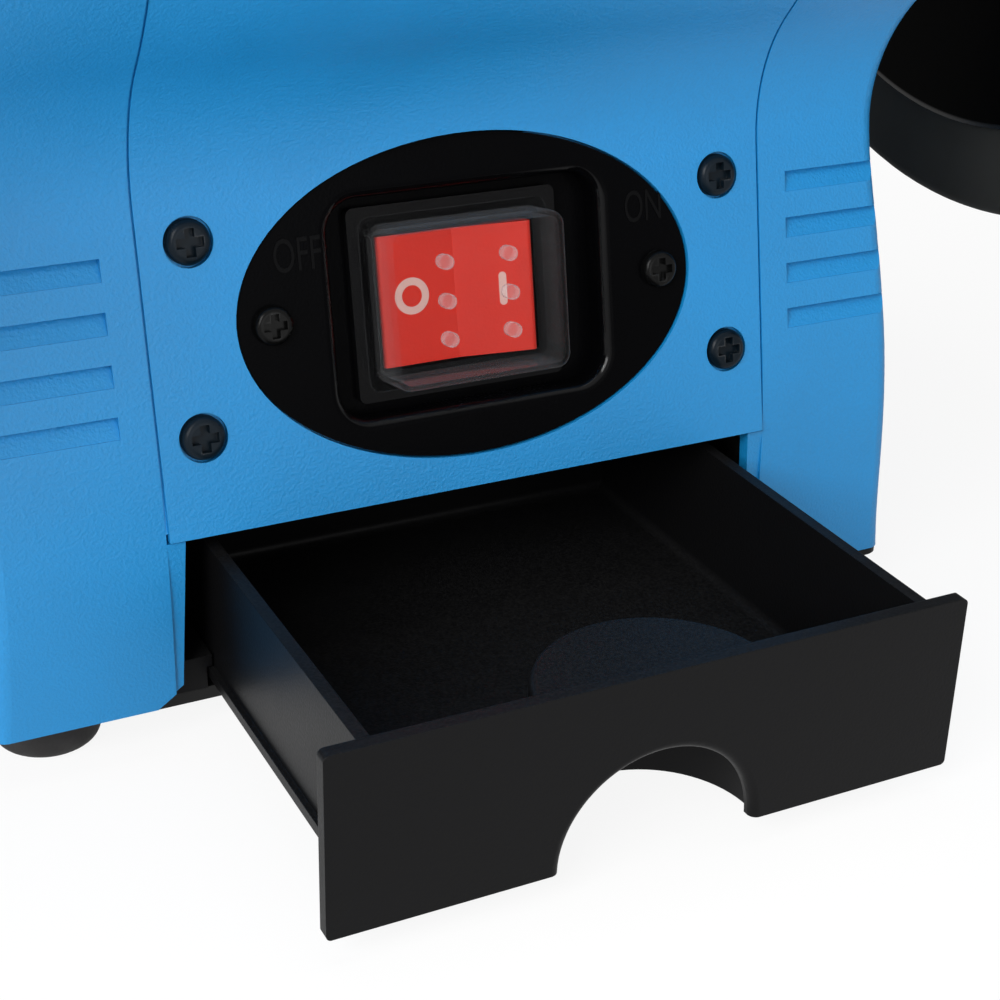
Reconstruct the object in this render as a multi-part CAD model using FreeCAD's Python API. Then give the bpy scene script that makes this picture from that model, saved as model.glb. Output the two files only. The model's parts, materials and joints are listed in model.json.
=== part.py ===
"""Double-ended bench grinder with a storage drawer in its pedestal.

Lengths are millimetres. X points right, Y back and Z up. The origin lies on the bench top, straight
below the middle of the shaft. Everything at the right-hand end is drawn once and mirrored for the
left-hand end.
"""
import FreeCAD, Part
import math
import os

V = FreeCAD.Vector

# Shaft and wheels
SHAFT_HEIGHT = 154.0
WHEEL_RADIUS = 87.5
WHEEL_WIDTH = 25.0
WHEEL_BORE = 16.0
WHEEL_FACE = 144.0
SHAFT_RADIUS = 8.5
THREAD_RADIUS = 8.0
SHOULDER = 134.0
SHAFT_END = 189.0
FLANGE_RADIUS = 32.0
NUT_FLATS = 24.0

# Pedestal covers
FRONT_DEPTH = 56.0
COVER_BOTTOM = 9.0
OPENING_TOP = 37.2
PANEL_LEAN = math.radians(11.0)
MOTOR_COVER_RADIUS = 70.3
WAIST_RADIUS = 26.0
COVER_WALL = 3.0
SEAM = 52.6
SEAM_GAP = 0.4
CHEEK_REACH = 82.6
CHEEK_WAIST = ((81.1, COVER_BOTTOM), (79.8, 29.0), (79.2, 52.0), (77.6, 70.0), (76.5, 82.0),
               (77.6, 100.0), (80.6, 120.0), (CHEEK_REACH, 140.0))
CHEEK_EDGE = 2.5
CHEEK_BEND = 140.0
JAMB = 49.9
JAMB_FLARE = 1.7
JAMB_SETBACK = 0.6
JAMB_BEVEL = 4.2
JAMB_BEVEL_RISE = 3.0
GROOVE_START = 58.0
GROOVE_TOPS = (57.2, 64.75, 72.3, 79.85)
GROOVE_HEIGHT = 3.4
GROOVE_DEPTH = 1.5

# Switch panel, measured from the middle of the oval
OVAL_HEIGHT = 67.0
OVAL_HALF_WIDTH = 38.6
OVAL_HALF_HEIGHT = 25.0
OVAL_SETBACK = 0.5
OVAL_PLATE = 2.0
WELL_WIDTH = 46.0
WELL_HEIGHT = 34.0
WELL_DEPTH = 5.6
WELL_WALL = 1.5
SWITCH_X = -1.0
SWITCH_WIDTH = 35.6
SWITCH_HEIGHT = 30.4
SWITCH_FLANGE = 1.6
CASE_WIDTH = 29.0
CASE_HEIGHT = 23.4
ROCKER_WIDTH = 26.0
ROCKER_HEIGHT = 20.6
ROCKER_SLOPE = math.radians(7.0)
ROCKER_PIVOT = 6.0
CAP_WIDTH = 29.8
CAP_HEIGHT = 24.9
CAP_RISE = 9.5
CAP_WALL = 0.9
PANEL_SCREWS = ((44.8, 80.6), (45.6, 52.1))
PANEL_SCREW_HEAD = 3.4
BEZEL_SCREW = 33.2

# Drawer, drawn pulled out by DRAWER_OUT
DRAWER_OUT = 57.6
DRAWER_FACE_WIDTH = 102.2
DRAWER_FACE_BOTTOM = 4.8
DRAWER_FACE_TOP = 34.0
DRAWER_FACE = 2.2
DRAWER_HALF = 45.5
DRAWER_LENGTH = 98.0
DRAWER_WALL = 2.0
DRAWER_FLOOR = 9.3
NOTCH_RADIUS = 15.9
FINGER_WELL_RADIUS = 18.4
FINGER_WELL_TOP = 31.4
FINGER_WELL_BOTTOM = 5.4
FINGER_WELL_WALL = 1.8
RUNNER_WIDTH = 0.9

# Base and frame
PLATE_HALF_WIDTH = 78.5
PLATE_HALF_DEPTH = 52.5
PLATE = 2.2
FOOT_X = 70.0
FOOT_Y = 41.5
FOOT_RADIUS = 8.5
BENCH_BOLT_X = 67.5
BENCH_BOLT_Y = 18.0
BENCH_BOLT_RADIUS = 3.3
BENCH_BUSH_RADIUS = 6.5
FRAME_HALF = 54.6
FRAME_DEPTH = 48.0
FRAME_TOP = 40.0
SHEET = 1.6
GLAND_X = 38.0
GLAND_Z = 24.0

# Motor
STATOR_RADIUS = 57.0
STATOR_HALF = 25.0
ROTOR_RADIUS = 28.0
AIR_GAP = 0.4
BEARING_START = 106.6
BEARING_WIDTH = 12.0
BEARING_RADIUS = 20.0

# Wheel guards
GUARD_FACE = 131.4
GUARD_RADIUS = 101.6
GUARD_RIM_END = 173.6
GUARD_DISH_RADIUS = 84.3
GUARD_DISH = 1.4
GUARD_CORNER = 3.0
WINDOW_LOW = -20.0
WINDOW_TOP_ANGLE = math.radians(58.0)
GUARD_LUGS = (20.0, 100.0, 255.0)
GUARD_LUG_RADIUS = 95.5

# Tool rest, spark arrestor and eye shield
REST_GAP = 2.3
REST_WIDTH = 48.0
REST_FRONT = -131.0
REST_TOP = -1.5
REST_SHELF = -27.0
REST_BOLT = -117.0
REST_CENTRE = WHEEL_FACE + WHEEL_WIDTH / 2
SLACK = 0.3
ARRESTOR_INNER = 90.0
ARRESTOR_OUTER = 121.0
ARRESTOR_SCREW = 112.0
SHIELD_PIVOT = (-92.0, 93.5)
SHIELD_LEAN = math.radians(35.0)
SHIELD_WIDTH = 74.0
SHIELD_LENGTH = 70.0


def box(x0, x1, y0, y1, z0, z1):
    """Box between two corners."""
    return Part.makeBox(x1 - x0, y1 - y0, z1 - z0, V(x0, y0, z0))


def rod(radius, start, direction, length):
    """Cylinder from a point along a direction."""
    return Part.makeCylinder(radius, length, V(*start), V(*direction))


def rod_x(radius, x0, x1, y=0.0, z=SHAFT_HEIGHT):
    """Cylinder along X."""
    return rod(radius, (x0, y, z), (1, 0, 0), x1 - x0)


def polygon(points):
    """Face inside a closed polygon of vectors."""
    return Part.Face(Part.makePolygon(list(points) + [points[0]]))


def prism_x(outline, x0, x1):
    """Extrude a (y, z) outline from x0 to x1."""
    return polygon([V(x0, y, z) for y, z in outline]).extrude(V(x1 - x0, 0, 0))


def prism_y(outline, y0, y1):
    """Extrude an (x, z) outline from y0 to y1."""
    return polygon([V(x, y0, z) for x, z in outline]).extrude(V(0, y1 - y0, 0))


def prism_z(outline, z0, z1):
    """Extrude an (x, y) outline from z0 to z1."""
    return polygon([V(x, y, z0) for x, y in outline]).extrude(V(0, 0, z1 - z0))


def turned(profile):
    """Revolve a closed (x, radius) profile round the shaft."""
    face = polygon([V(x, 0, SHAFT_HEIGHT + radius) for x, radius in profile])
    return face.revolve(V(0, 0, SHAFT_HEIGHT), V(1, 0, 0), 360)


def rounded_block(width, height, low, high, corner):
    """Block with rounded upright edges, centred on the local Z axis."""
    block = Part.makeBox(width, height, high - low, V(-width / 2, -height / 2, low))
    upright = [edge for edge in block.Edges if abs(edge.tangentAt(edge.FirstParameter).z) > 0.9]
    return block.makeFillet(corner, upright)


def fillet_where(shape, radius, test):
    """Round the edges whose middle point passes a test."""
    chosen = []
    for edge in shape.Edges:
        middle = (edge.FirstParameter + edge.LastParameter) / 2
        if test(edge.valueAt(middle)):
            chosen.append(edge)
    return shape.makeFillet(radius, chosen)


def fuse(shapes):
    """Join shapes into one tidy solid."""
    joined = shapes[0].multiFuse(shapes[1:])
    return joined.removeSplitter().Solids[0]


def mirrored(shape):
    """Copy for the left-hand end."""
    return shape.mirror(V(0, 0, 0), V(1, 0, 0))


def both_ends(solids):
    """Solids of the right-hand end followed by their left-hand copies."""
    return solids + [mirrored(solid) for solid in solids]


def panel_depth(height):
    """Y of the leaning panel's face at a height."""
    return -FRONT_DEPTH + (height - OPENING_TOP) * math.tan(PANEL_LEAN)


def on_panel(shape, height=OVAL_HEIGHT):
    """Place a shape drawn with X right, Y up the panel and Z out of it."""
    turn = FreeCAD.Rotation(V(1, 0, 0), 90 - math.degrees(PANEL_LEAN))
    copy = shape.copy()
    stand = FreeCAD.Placement(V(0, panel_depth(height), height), turn)
    copy.Placement = stand.multiply(copy.Placement)
    return copy


def on_switch(shape):
    """Place a shape drawn about the middle of the switch."""
    copy = shape.copy()
    copy.translate(V(SWITCH_X, 0, 0))
    return on_panel(copy)


def to_back(shape):
    """Copy of a front piece on the back of the pedestal."""
    return shape.mirror(V(0, 0, 0), V(0, 1, 0))


def housing(inset, x0, x1, bottom=COVER_BOTTOM):
    """Pedestal and motor cover as one prism along X, its outline drawn in by an inset.

    The front stands upright beside the drawer, leans back as the switch panel, turns forward
    through a hollow waist and runs over the motor. The back is its mirror image.
    """
    up = V(0, math.sin(PANEL_LEAN), math.cos(PANEL_LEAN))
    inward = V(0, math.cos(PANEL_LEAN), -math.sin(PANEL_LEAN))
    kink = V(x0, -FRONT_DEPTH, OPENING_TOP)
    axis = V(x0, 0, SHAFT_HEIGHT)
    waist = WAIST_RADIUS + inset
    crown = MOTOR_COVER_RADIUS - inset
    across = (axis - kink).dot(inward) - inset
    rise = (axis - kink).dot(up) - math.sqrt((waist + crown) ** 2 - (across + waist) ** 2)
    shifted = kink + inward * inset
    corner = shifted + up * (inset * math.tan(PANEL_LEAN / 2))
    panel_end = shifted + up * rise
    centre = panel_end - inward * waist
    crown_start = axis + (centre - axis) * (crown / (waist + crown))
    waist_middle = centre + ((panel_end - centre) + (crown_start - centre)).normalize() * waist
    foot = V(x0, -FRONT_DEPTH + inset, bottom)

    def back(point):
        return V(point.x, -point.y, point.z)

    edges = [
        Part.LineSegment(foot, corner).toShape(),
        Part.LineSegment(corner, panel_end).toShape(),
        Part.Arc(panel_end, waist_middle, crown_start).toShape(),
        Part.Arc(crown_start, axis + V(0, 0, crown), back(crown_start)).toShape(),
        Part.Arc(back(crown_start), back(waist_middle), back(panel_end)).toShape(),
        Part.LineSegment(back(panel_end), back(corner)).toShape(),
        Part.LineSegment(back(corner), back(foot)).toShape(),
        Part.LineSegment(back(foot), foot).toShape(),
    ]
    return Part.Face(Part.Wire(edges)).extrude(V(x1 - x0, 0, 0))


def cheek_side(inset, bottom=COVER_BOTTOM):
    """Waisted side outline of the right cheek as a prism along Y."""
    depth = 2 * FRONT_DEPTH
    top = SHAFT_HEIGHT + MOTOR_COVER_RADIUS + 10
    points = [V(x - inset, -depth, z) for x, z in CHEEK_WAIST]
    points[0].z = bottom
    waist = Part.BSplineCurve()
    waist.interpolate(points)
    corners = [points[-1], V(CHEEK_REACH - inset, -depth, top), V(0, -depth, top),
               V(0, -depth, bottom), points[0]]
    wire = Part.Wire([waist.toShape()] + Part.makePolygon(corners).Edges)
    return Part.Face(wire).extrude(V(0, 2 * depth, 0))


def cheek_grooves():
    """Four stepped grooves, deepest along their upper edge."""
    section = ((0, 1), (0, -GROOVE_DEPTH), (-GROOVE_HEIGHT, -0.15), (-GROOVE_HEIGHT, 1))
    groove = prism_x(section, GROOVE_START, CHEEK_REACH + 10)
    return [on_panel(groove, height) for height in GROOVE_TOPS]


def make_right_cheek():
    """Blue end shell, with jamb, screw tabs, grooves and the hole for the motor's end bell."""
    start = SEAM + SEAM_GAP / 2
    low = JAMB + JAMB_FLARE
    bevel_end = low + JAMB_BEVEL

    def on_bend(point):
        return abs(abs(point.y) - FRONT_DEPTH) < 0.01 and abs(point.z - OPENING_TOP) < 0.01

    prism = fillet_where(housing(0, start, CHEEK_REACH + 10), CHEEK_BEND, on_bend)
    outer = prism.common(cheek_side(0))
    side = CHEEK_REACH - 12
    outer = fillet_where(outer, CHEEK_EDGE, lambda p: p.x > side and p.z > COVER_BOTTOM + 0.5)
    hollow = housing(COVER_WALL, start - 1, CHEEK_REACH + 10, 0).common(cheek_side(COVER_WALL, 0))
    shell = outer.cut(hollow)
    top = OPENING_TOP - 0.4
    jamb = prism_y(((JAMB, top), (low, COVER_BOTTOM), (bevel_end, COVER_BOTTOM), (bevel_end, top)),
                   -FRONT_DEPTH + JAMB_SETBACK, -FRONT_DEPTH + COVER_WALL)
    tab = on_panel(Part.makeBox(22.0, 45.0, 3.0, V(39.0, -23.0, -2 * COVER_WALL)))
    shell = fuse([shell, jamb, tab, to_back(tab)])
    reach = 6.0
    bevel_top = COVER_BOTTOM + JAMB_BEVEL_RISE * (1 + reach / JAMB_BEVEL)
    bevel = prism_y(((low - reach, 0), (low - reach, bevel_top), (bevel_end, COVER_BOTTOM), (bevel_end, 0)),
                    -FRONT_DEPTH - 1, -FRONT_DEPTH + COVER_WALL + 0.5)
    grooves = cheek_grooves()
    holes = [on_panel(rod(1.6, (x, 0, -20), (0, 0, 1), 40), z) for x, z in PANEL_SCREWS]
    cuts = grooves + holes + [to_back(cut) for cut in grooves + holes]
    cuts.append(rod_x(STATOR_RADIUS - 1.8, CHEEK_REACH - 10, CHEEK_REACH + 10))
    cuts.append(bevel)
    return shell.cut(cuts)


def cover_shell():
    """Shell between the seams before it is parted into front and back."""
    reach = SEAM - SEAM_GAP / 2
    return housing(0, -reach, reach).cut(housing(COVER_WALL, -reach - 1, reach + 1, 0))


def panel_screw_cuts():
    """Round recesses and holes of the four panel screws."""
    cuts = []
    for x, z in PANEL_SCREWS:
        for side in (-1, 1):
            cuts.append(on_panel(rod(PANEL_SCREW_HEAD + 0.4, (side * x, 0, -1.2), (0, 0, 1), 5), z))
            cuts.append(on_panel(rod(2.3, (side * x, 0, -10), (0, 0, 1), 15), z))
    return cuts


def oval(half_width, half_height, low, high):
    """Oval block on the local Z axis."""
    ellipse = Part.Ellipse(V(0, 0, low), half_width, half_height)
    return Part.Face(Part.Wire([ellipse.toShape()])).extrude(V(0, 0, high - low))


def make_front_cover():
    """Blue switch panel and the front of the motor cover."""
    front = cover_shell().common(box(-80, 80, -90, -SEAM_GAP / 2, OPENING_TOP, 260))
    seat = on_panel(oval(OVAL_HALF_WIDTH + 0.3, OVAL_HALF_HEIGHT + 0.3, -OVAL_SETBACK - OVAL_PLATE, 5))
    around = 2 * WELL_WALL + 0.6
    mouth = on_panel(rounded_block(WELL_WIDTH + around, WELL_HEIGHT + around, -10, 5, 6.0))
    pilots = [on_panel(rod(1.3, (side * BEZEL_SCREW, 0, -10), (0, 0, 1), 15)) for side in (-1, 1)]
    return front.cut([seat, mouth] + pilots + panel_screw_cuts())


def make_rear_cover():
    """Blue back of the pedestal and motor cover, with the hole of the cable gland."""
    rear = cover_shell().common(box(-80, 80, SEAM_GAP / 2, 90, 0, 260))
    inlet = rod(8.0, (GLAND_X, 40, GLAND_Z), (0, 1, 0), 30)
    return rear.cut([inlet] + [to_back(cut) for cut in panel_screw_cuts()])


def pan_screw(head_radius, head_height, shank_radius, shank_length):
    """Cross-head pan screw standing on the local origin, its shank below."""
    head = Part.makeCylinder(head_radius, head_height)
    head = fillet_where(head, head_height * 0.55, lambda p: p.z > head_height - 0.01)
    slot = 0.22 * head_radius
    arm = 0.62 * head_radius
    cross = [Part.makeBox(2 * arm, 2 * slot, head_height, V(-arm, -slot, head_height * 0.45)),
             Part.makeBox(2 * slot, 2 * arm, head_height, V(-slot, -arm, head_height * 0.45))]
    return fuse([head.cut(cross), rod(shank_radius, (0, 0, -shank_length), (0, 0, 1), shank_length)])


def placed(shape, position, axis):
    """Copy of a shape with its local Z axis along an axis."""
    copy = shape.copy()
    copy.Placement = FreeCAD.Placement(V(*position), FreeCAD.Rotation(V(0, 0, 1), V(*axis)))
    return copy


def make_front_screws():
    """Four panel screws with their heads in the recesses."""
    screw = pan_screw(PANEL_SCREW_HEAD, 2.2, 1.6, 8.0)
    screws = []
    for x, z in PANEL_SCREWS:
        for side in (-1, 1):
            local = screw.copy()
            local.translate(V(side * x, 0, -1.2))
            screws.append(on_panel(local, z))
    return screws


def make_switch_bezel():
    """Black oval plate with a rounded well for the switch."""
    back = -OVAL_SETBACK - OVAL_PLATE
    plate = oval(OVAL_HALF_WIDTH, OVAL_HALF_HEIGHT, back, -OVAL_SETBACK)
    floor = -WELL_DEPTH - WELL_WALL
    cup = rounded_block(WELL_WIDTH + 2 * WELL_WALL, WELL_HEIGHT + 2 * WELL_WALL, floor, back + 0.5, 5.5)
    bezel = fuse([plate, cup]).cut(rounded_block(WELL_WIDTH, WELL_HEIGHT, -WELL_DEPTH, 5, 5.0))
    mouth_half = WELL_WIDTH / 2 + 0.5

    def on_lip(point):
        inside = abs(point.x) < mouth_half and abs(point.y) < WELL_HEIGHT / 2 + 0.5
        return inside and abs(point.z + OVAL_SETBACK) < 0.01

    bezel = fillet_where(bezel, 1.7, on_lip)
    window = rounded_block(CASE_WIDTH + 0.6, CASE_HEIGHT + 0.6, -20, 5, 1.0)
    window.translate(V(SWITCH_X, 0, 0))
    holes = [rod(1.7, (side * BEZEL_SCREW, 0, -10), (0, 0, 1), 15) for side in (-1, 1)]
    return on_panel(bezel.cut([window] + holes))


def make_bezel_screws():
    """One small screw in each end of the oval."""
    screw = pan_screw(3.0, 1.7, 1.3, 7.0)
    screws = []
    for side in (-1, 1):
        local = screw.copy()
        local.translate(V(side * BEZEL_SCREW, 0, -OVAL_SETBACK))
        screws.append(on_panel(local))
    return screws


def make_switch_body():
    """Black switch: flange, case open in front for the rocker, and four blade terminals."""
    seat = -WELL_DEPTH
    flange = rounded_block(SWITCH_WIDTH, SWITCH_HEIGHT, seat, seat + SWITCH_FLANGE, 1.2)
    case = rounded_block(CASE_WIDTH, CASE_HEIGHT, seat - 20.0, seat, 1.0)
    blades = []
    for x in (-8, 8):
        for y in (-5.5, 5.5):
            blades.append(Part.makeBox(0.8, 6.3, 7.0, V(x - 0.4, y - 3.15, seat - 27.0)))
    cavity = rounded_block(ROCKER_WIDTH + 1.4, ROCKER_HEIGHT + 0.8, seat - 12.0, 5, 0.6)
    return on_switch(fuse([flange, case] + blades).cut(cavity))


def make_rocker():
    """Red rocker, resting with its left half pressed in.

    Its top is a shallow valley: the pressed half lies along the panel and the other half stands out.
    """
    half = ROCKER_WIDTH / 2
    valley = -WELL_DEPTH + SWITCH_FLANGE - 0.6
    rise = half * math.tan(ROCKER_SLOPE)
    foot = valley - 4.0
    outline = (V(-half, 0, valley + rise), V(0, 0, valley), V(half, 0, valley + rise),
               V(half - 1.2, 0, foot), V(4.0, 0, foot - 3.0), V(-4.0, 0, foot - 3.0),
               V(-half + 1.2, 0, foot))
    block = polygon(outline).extrude(V(0, ROCKER_HEIGHT, 0))
    block.translate(V(0, -ROCKER_HEIGHT / 2, 0))
    ends = half - 0.1
    block = fillet_where(block, 0.8, lambda p: abs(p.x) > ends)
    block.rotate(V(0, 0, -ROCKER_PIVOT), V(0, 1, 0), -math.degrees(ROCKER_SLOPE))
    return on_switch(block)


def make_switch_cover():
    """Clear dust cap over the rocker, with a thin lip on the switch's flange."""
    seat = -WELL_DEPTH + SWITCH_FLANGE
    lip = rounded_block(CAP_WIDTH + 2.4, CAP_HEIGHT + 2.4, seat, seat + 0.5, 2.0)
    cap = rounded_block(CAP_WIDTH, CAP_HEIGHT, seat, seat + CAP_RISE, 2.4)
    top = seat + CAP_RISE - 0.01
    cap = fillet_where(cap, 1.4, lambda p: p.z > top)
    room = 2 * CAP_WALL
    inside = rounded_block(CAP_WIDTH - room, CAP_HEIGHT - room, seat - 1, seat + CAP_RISE - CAP_WALL, 1.5)
    return on_switch(fuse([lip, cap]).cut(inside))


def make_drawer():
    """Black drawer: front plate with a finger notch, flat-topped finger well, box walls and runners."""
    front = -FRONT_DEPTH - DRAWER_OUT
    inner = front + DRAWER_FACE
    rear = front + DRAWER_LENGTH
    wall_top = DRAWER_FACE_TOP - 0.4
    half = DRAWER_FACE_WIDTH / 2
    ends = half - 0.01
    plate = box(-half, half, front, inner, DRAWER_FACE_BOTTOM, DRAWER_FACE_TOP)
    plate = fillet_where(plate, 1.0, lambda p: abs(p.x) > ends and p.z > DRAWER_FACE_TOP - 0.01)
    plate = fillet_where(plate, 0.8, lambda p: abs(p.x) > ends and p.z < DRAWER_FACE_BOTTOM + 0.01)
    tub = box(-DRAWER_HALF, DRAWER_HALF, inner, rear, DRAWER_FLOOR, wall_top)
    tub = fillet_where(tub, 3.0, lambda p: abs(p.y - rear) < 0.01 and abs(p.x) > DRAWER_HALF - 0.01)
    room = box(-DRAWER_HALF + DRAWER_WALL, DRAWER_HALF - DRAWER_WALL, inner, rear - DRAWER_WALL,
               DRAWER_FLOOR + DRAWER_WALL, 60)
    room = fillet_where(room, 1.6, lambda p: p.z < DRAWER_FLOOR + DRAWER_WALL + 0.01 and p.y > inner + 0.01)
    runner_z = DRAWER_FLOOR + 1.4
    runners = []
    for side in (-1, 1):
        middle = side * DRAWER_HALF
        runner = box(middle - RUNNER_WIDTH, middle + RUNNER_WIDTH, inner, rear - 4,
                     runner_z, runner_z + 1.8)
        runners.append(runner.cut(room))
    behind = box(-30, 30, inner, 0, -30, 60)
    depth = FINGER_WELL_TOP - FINGER_WELL_BOTTOM
    well = rod(FINGER_WELL_RADIUS, (0, inner, FINGER_WELL_BOTTOM), (0, 0, 1), depth)
    brim = FINGER_WELL_TOP - 0.01
    well = fillet_where(well.common(behind), 1.2, lambda p: p.z > brim and p.y > inner + 1)
    body = fuse([tub.cut(room), plate, well] + runners)
    hollow = FINGER_WELL_RADIUS - FINGER_WELL_WALL
    recess = rod(hollow, (0, inner, 0), (0, 0, 1), FINGER_WELL_TOP - FINGER_WELL_WALL).common(behind)
    notch = rod(NOTCH_RADIUS, (0, front - 5, DRAWER_FACE_BOTTOM), (0, 1, 0), DRAWER_FACE + 5.5)
    body = body.cut([recess, notch])

    def on_notch(point):
        reach = math.hypot(point.x, point.z - DRAWER_FACE_BOTTOM)
        return abs(point.y - front) < 0.01 and abs(reach - NOTCH_RADIUS) < 0.05

    return fillet_where(body, 1.4, on_notch)


def make_drawer_rail():
    """Right rail: a channel whose lip holds the drawer's runner down."""
    outside = FRAME_HALF - SHEET
    runner = DRAWER_HALF + RUNNER_WIDTH + SLACK
    lip = DRAWER_FLOOR + 1.4 + 1.8 + SLACK
    section = ((outside, COVER_BOTTOM), (outside, lip + 2.0), (DRAWER_HALF + SLACK, lip + 2.0),
               (DRAWER_HALF + SLACK, lip), (runner, lip), (runner, COVER_BOTTOM))
    return prism_y(section, -FRONT_DEPTH + COVER_WALL + 0.2, FRAME_DEPTH)


def make_base_plate():
    """Black bottom plate with rounded corners, cut back in front for the drawer's finger well."""
    w = PLATE_HALF_WIDTH
    d = PLATE_HALF_DEPTH
    plate = box(-w, w, -d, d, COVER_BOTTOM - PLATE, COVER_BOTTOM)
    plate = fillet_where(plate, 8.0, lambda p: abs(p.x) > w - 0.01 and abs(p.y) > d - 0.01)
    room = rod(FINGER_WELL_RADIUS + 1.6, (0, -FRONT_DEPTH, 0), (0, 0, 1), 20)
    return plate.cut([room] + plate_holes())


def plate_holes():
    """Holes of the feet's screws and of the four bolts that fix the grinder to a bench."""
    holes = [rod(2.7, (x, y, 0), (0, 0, 1), 20) for x, y in foot_places()]
    holes += [rod(BENCH_BOLT_RADIUS, (x, y, 0), (0, 0, 1), 20) for x, y in bench_bolt_places()]
    return holes


def foot_places():
    """Middles of the four feet."""
    return [(x, y) for x in (-FOOT_X, FOOT_X) for y in (-FOOT_Y, FOOT_Y)]


def bench_bolt_places():
    """Middles of the four bench bolts."""
    return [(x, y) for x in (-BENCH_BOLT_X, BENCH_BOLT_X) for y in (-BENCH_BOLT_Y, BENCH_BOLT_Y)]


def make_rubber_feet():
    """Four rubber feet with a recess for the screw's head, and a bush round each bench bolt."""
    top = COVER_BOTTOM - PLATE
    foot = Part.makeCylinder(FOOT_RADIUS, top)
    foot = fillet_where(foot, 2.2, lambda p: p.z < 0.01)
    foot = foot.cut([rod(4.0, (0, 0, 0), (0, 0, 1), 3.2), rod(2.2, (0, 0, 0), (0, 0, 1), top)])
    feet = [placed(foot, (x, y, 0), (0, 0, 1)) for x, y in foot_places()]
    bush = Part.makeCylinder(BENCH_BUSH_RADIUS, top).cut(Part.makeCylinder(BENCH_BOLT_RADIUS, top))
    return feet + [placed(bush, (x, y, 0), (0, 0, 1)) for x, y in bench_bolt_places()]


def make_foot_screws():
    """Screw of each foot, head down in its recess."""
    screw = pan_screw(3.6, 2.2, 2.2, 11.0)
    return [placed(screw, (x, y, 3.2), (0, 0, -1)) for x, y in foot_places()]


def make_pedestal_frame():
    """Folded steel frame that straddles the drawer and stands on the bottom plate."""
    inside = FRAME_HALF - SHEET
    flange = PLATE_HALF_WIDTH - 3.5
    low = COVER_BOTTOM
    outline = ((-flange, low), (-inside, low), (-inside, FRAME_TOP - SHEET), (inside, FRAME_TOP - SHEET),
               (inside, low), (flange, low), (flange, low + SHEET), (FRAME_HALF, low + SHEET),
               (FRAME_HALF, FRAME_TOP), (-FRAME_HALF, FRAME_TOP), (-FRAME_HALF, low + SHEET),
               (-flange, low + SHEET))
    frame = prism_y(outline, -FRAME_DEPTH, FRAME_DEPTH)
    return frame.cut(plate_holes())


def make_motor_cradle():
    """Saddle of two webs on a flange, hollowed to the stator's round."""
    flange = box(-34, 34, -40, 40, FRAME_TOP, FRAME_TOP + 2)
    web = ((-40, FRAME_TOP), (40, FRAME_TOP), (34, 112), (-34, 112))
    webs = [prism_x(web, x, x + 4) for x in (-28, 24)]
    return fuse([flange] + webs).cut(rod_x(STATOR_RADIUS, -60, 60))


def make_stator_core():
    """Laminated stator with twelve slots open to its bore."""
    bore = ROTOR_RADIUS + AIR_GAP
    core = rod_x(STATOR_RADIUS, -STATOR_HALF, STATOR_HALF).cut(rod_x(bore, -40, 40))
    slot = box(-40, 40, -2.5, 2.5, SHAFT_HEIGHT + bore - 2, SHAFT_HEIGHT + bore + 14)
    slots = []
    for index in range(12):
        turn = slot.copy()
        turn.rotate(V(0, 0, SHAFT_HEIGHT), V(1, 0, 0), 30.0 * index)
        slots.append(turn)
    return core.cut(slots)


def make_stator_windings():
    """Wound coil ends at both faces of the stator."""
    start = STATOR_HALF
    profile = ((start, 34), (start, 48), (start + 16, 48), (start + 20, 45), (start + 20, 37),
               (start + 16, 34))
    return both_ends([turned(profile)])


def make_right_end_bell():
    """Cast end bell: winding chamber, ribbed neck, bearing seat and the flange of the guard."""
    seat_end = BEARING_START + BEARING_WIDTH
    face = GUARD_FACE - GUARD_DISH
    rim = STATOR_RADIUS - 2.4
    profile = ((STATOR_HALF, STATOR_RADIUS), (60, STATOR_RADIUS), (66, rim), (86, rim), (112, 43),
               (122, 42), (124, 46), (face, 46), (face, 12), (seat_end, 12), (seat_end, BEARING_RADIUS),
               (BEARING_START, BEARING_RADIUS), (BEARING_START, 17), (104, 17), (104, 38), (84, 50),
               (STATOR_HALF, 52))
    bell = turned(profile)
    rib = prism_y(((86, SHAFT_HEIGHT + 40), (86, SHAFT_HEIGHT + rim - 0.5), (124, SHAFT_HEIGHT + 46.0),
                   (124, SHAFT_HEIGHT + 36)), -2.0, 2.0)
    ribs = []
    for index in range(8):
        turn = rib.copy()
        turn.rotate(V(0, 0, SHAFT_HEIGHT), V(1, 0, 0), 45.0 * index)
        ribs.append(turn)
    bell = fuse([bell] + ribs)
    return bell.cut([rod_x(2.5, 116, 140, *place) for place in bell_bolts()])


def bell_bolts():
    """Middles of the three bolts that hold a guard to its bell."""
    places = []
    for angle in (90, 210, 330):
        turn = math.radians(angle)
        places.append((36.0 * math.cos(turn), SHAFT_HEIGHT + 36.0 * math.sin(turn)))
    return places


def make_bearing_rings():
    """Outer rings, inner rings and balls of both bearings."""
    x0 = BEARING_START
    x1 = x0 + BEARING_WIDTH
    middle = (x0 + x1) / 2
    groove = 14.25
    outer = turned(((x0, BEARING_RADIUS), (x1, BEARING_RADIUS), (x1, 16.4), (middle + 2.6, 16.4),
                    (middle + 1.4, 17.6), (middle - 1.4, 17.6), (middle - 2.6, 16.4), (x0, 16.4)))
    inner = turned(((x0, SHAFT_RADIUS), (x1, SHAFT_RADIUS), (x1, 12.1), (middle + 2.6, 12.1),
                    (middle + 1.4, 10.9), (middle - 1.4, 10.9), (middle - 2.6, 12.1), (x0, 12.1)))
    balls = []
    for index in range(8):
        angle = math.radians(45.0 * index)
        place = V(middle, groove * math.cos(angle), SHAFT_HEIGHT + groove * math.sin(angle))
        balls.append(Part.makeSphere(3.0, place))
    return both_ends([outer]), both_ends([inner]), both_ends(balls)


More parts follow.
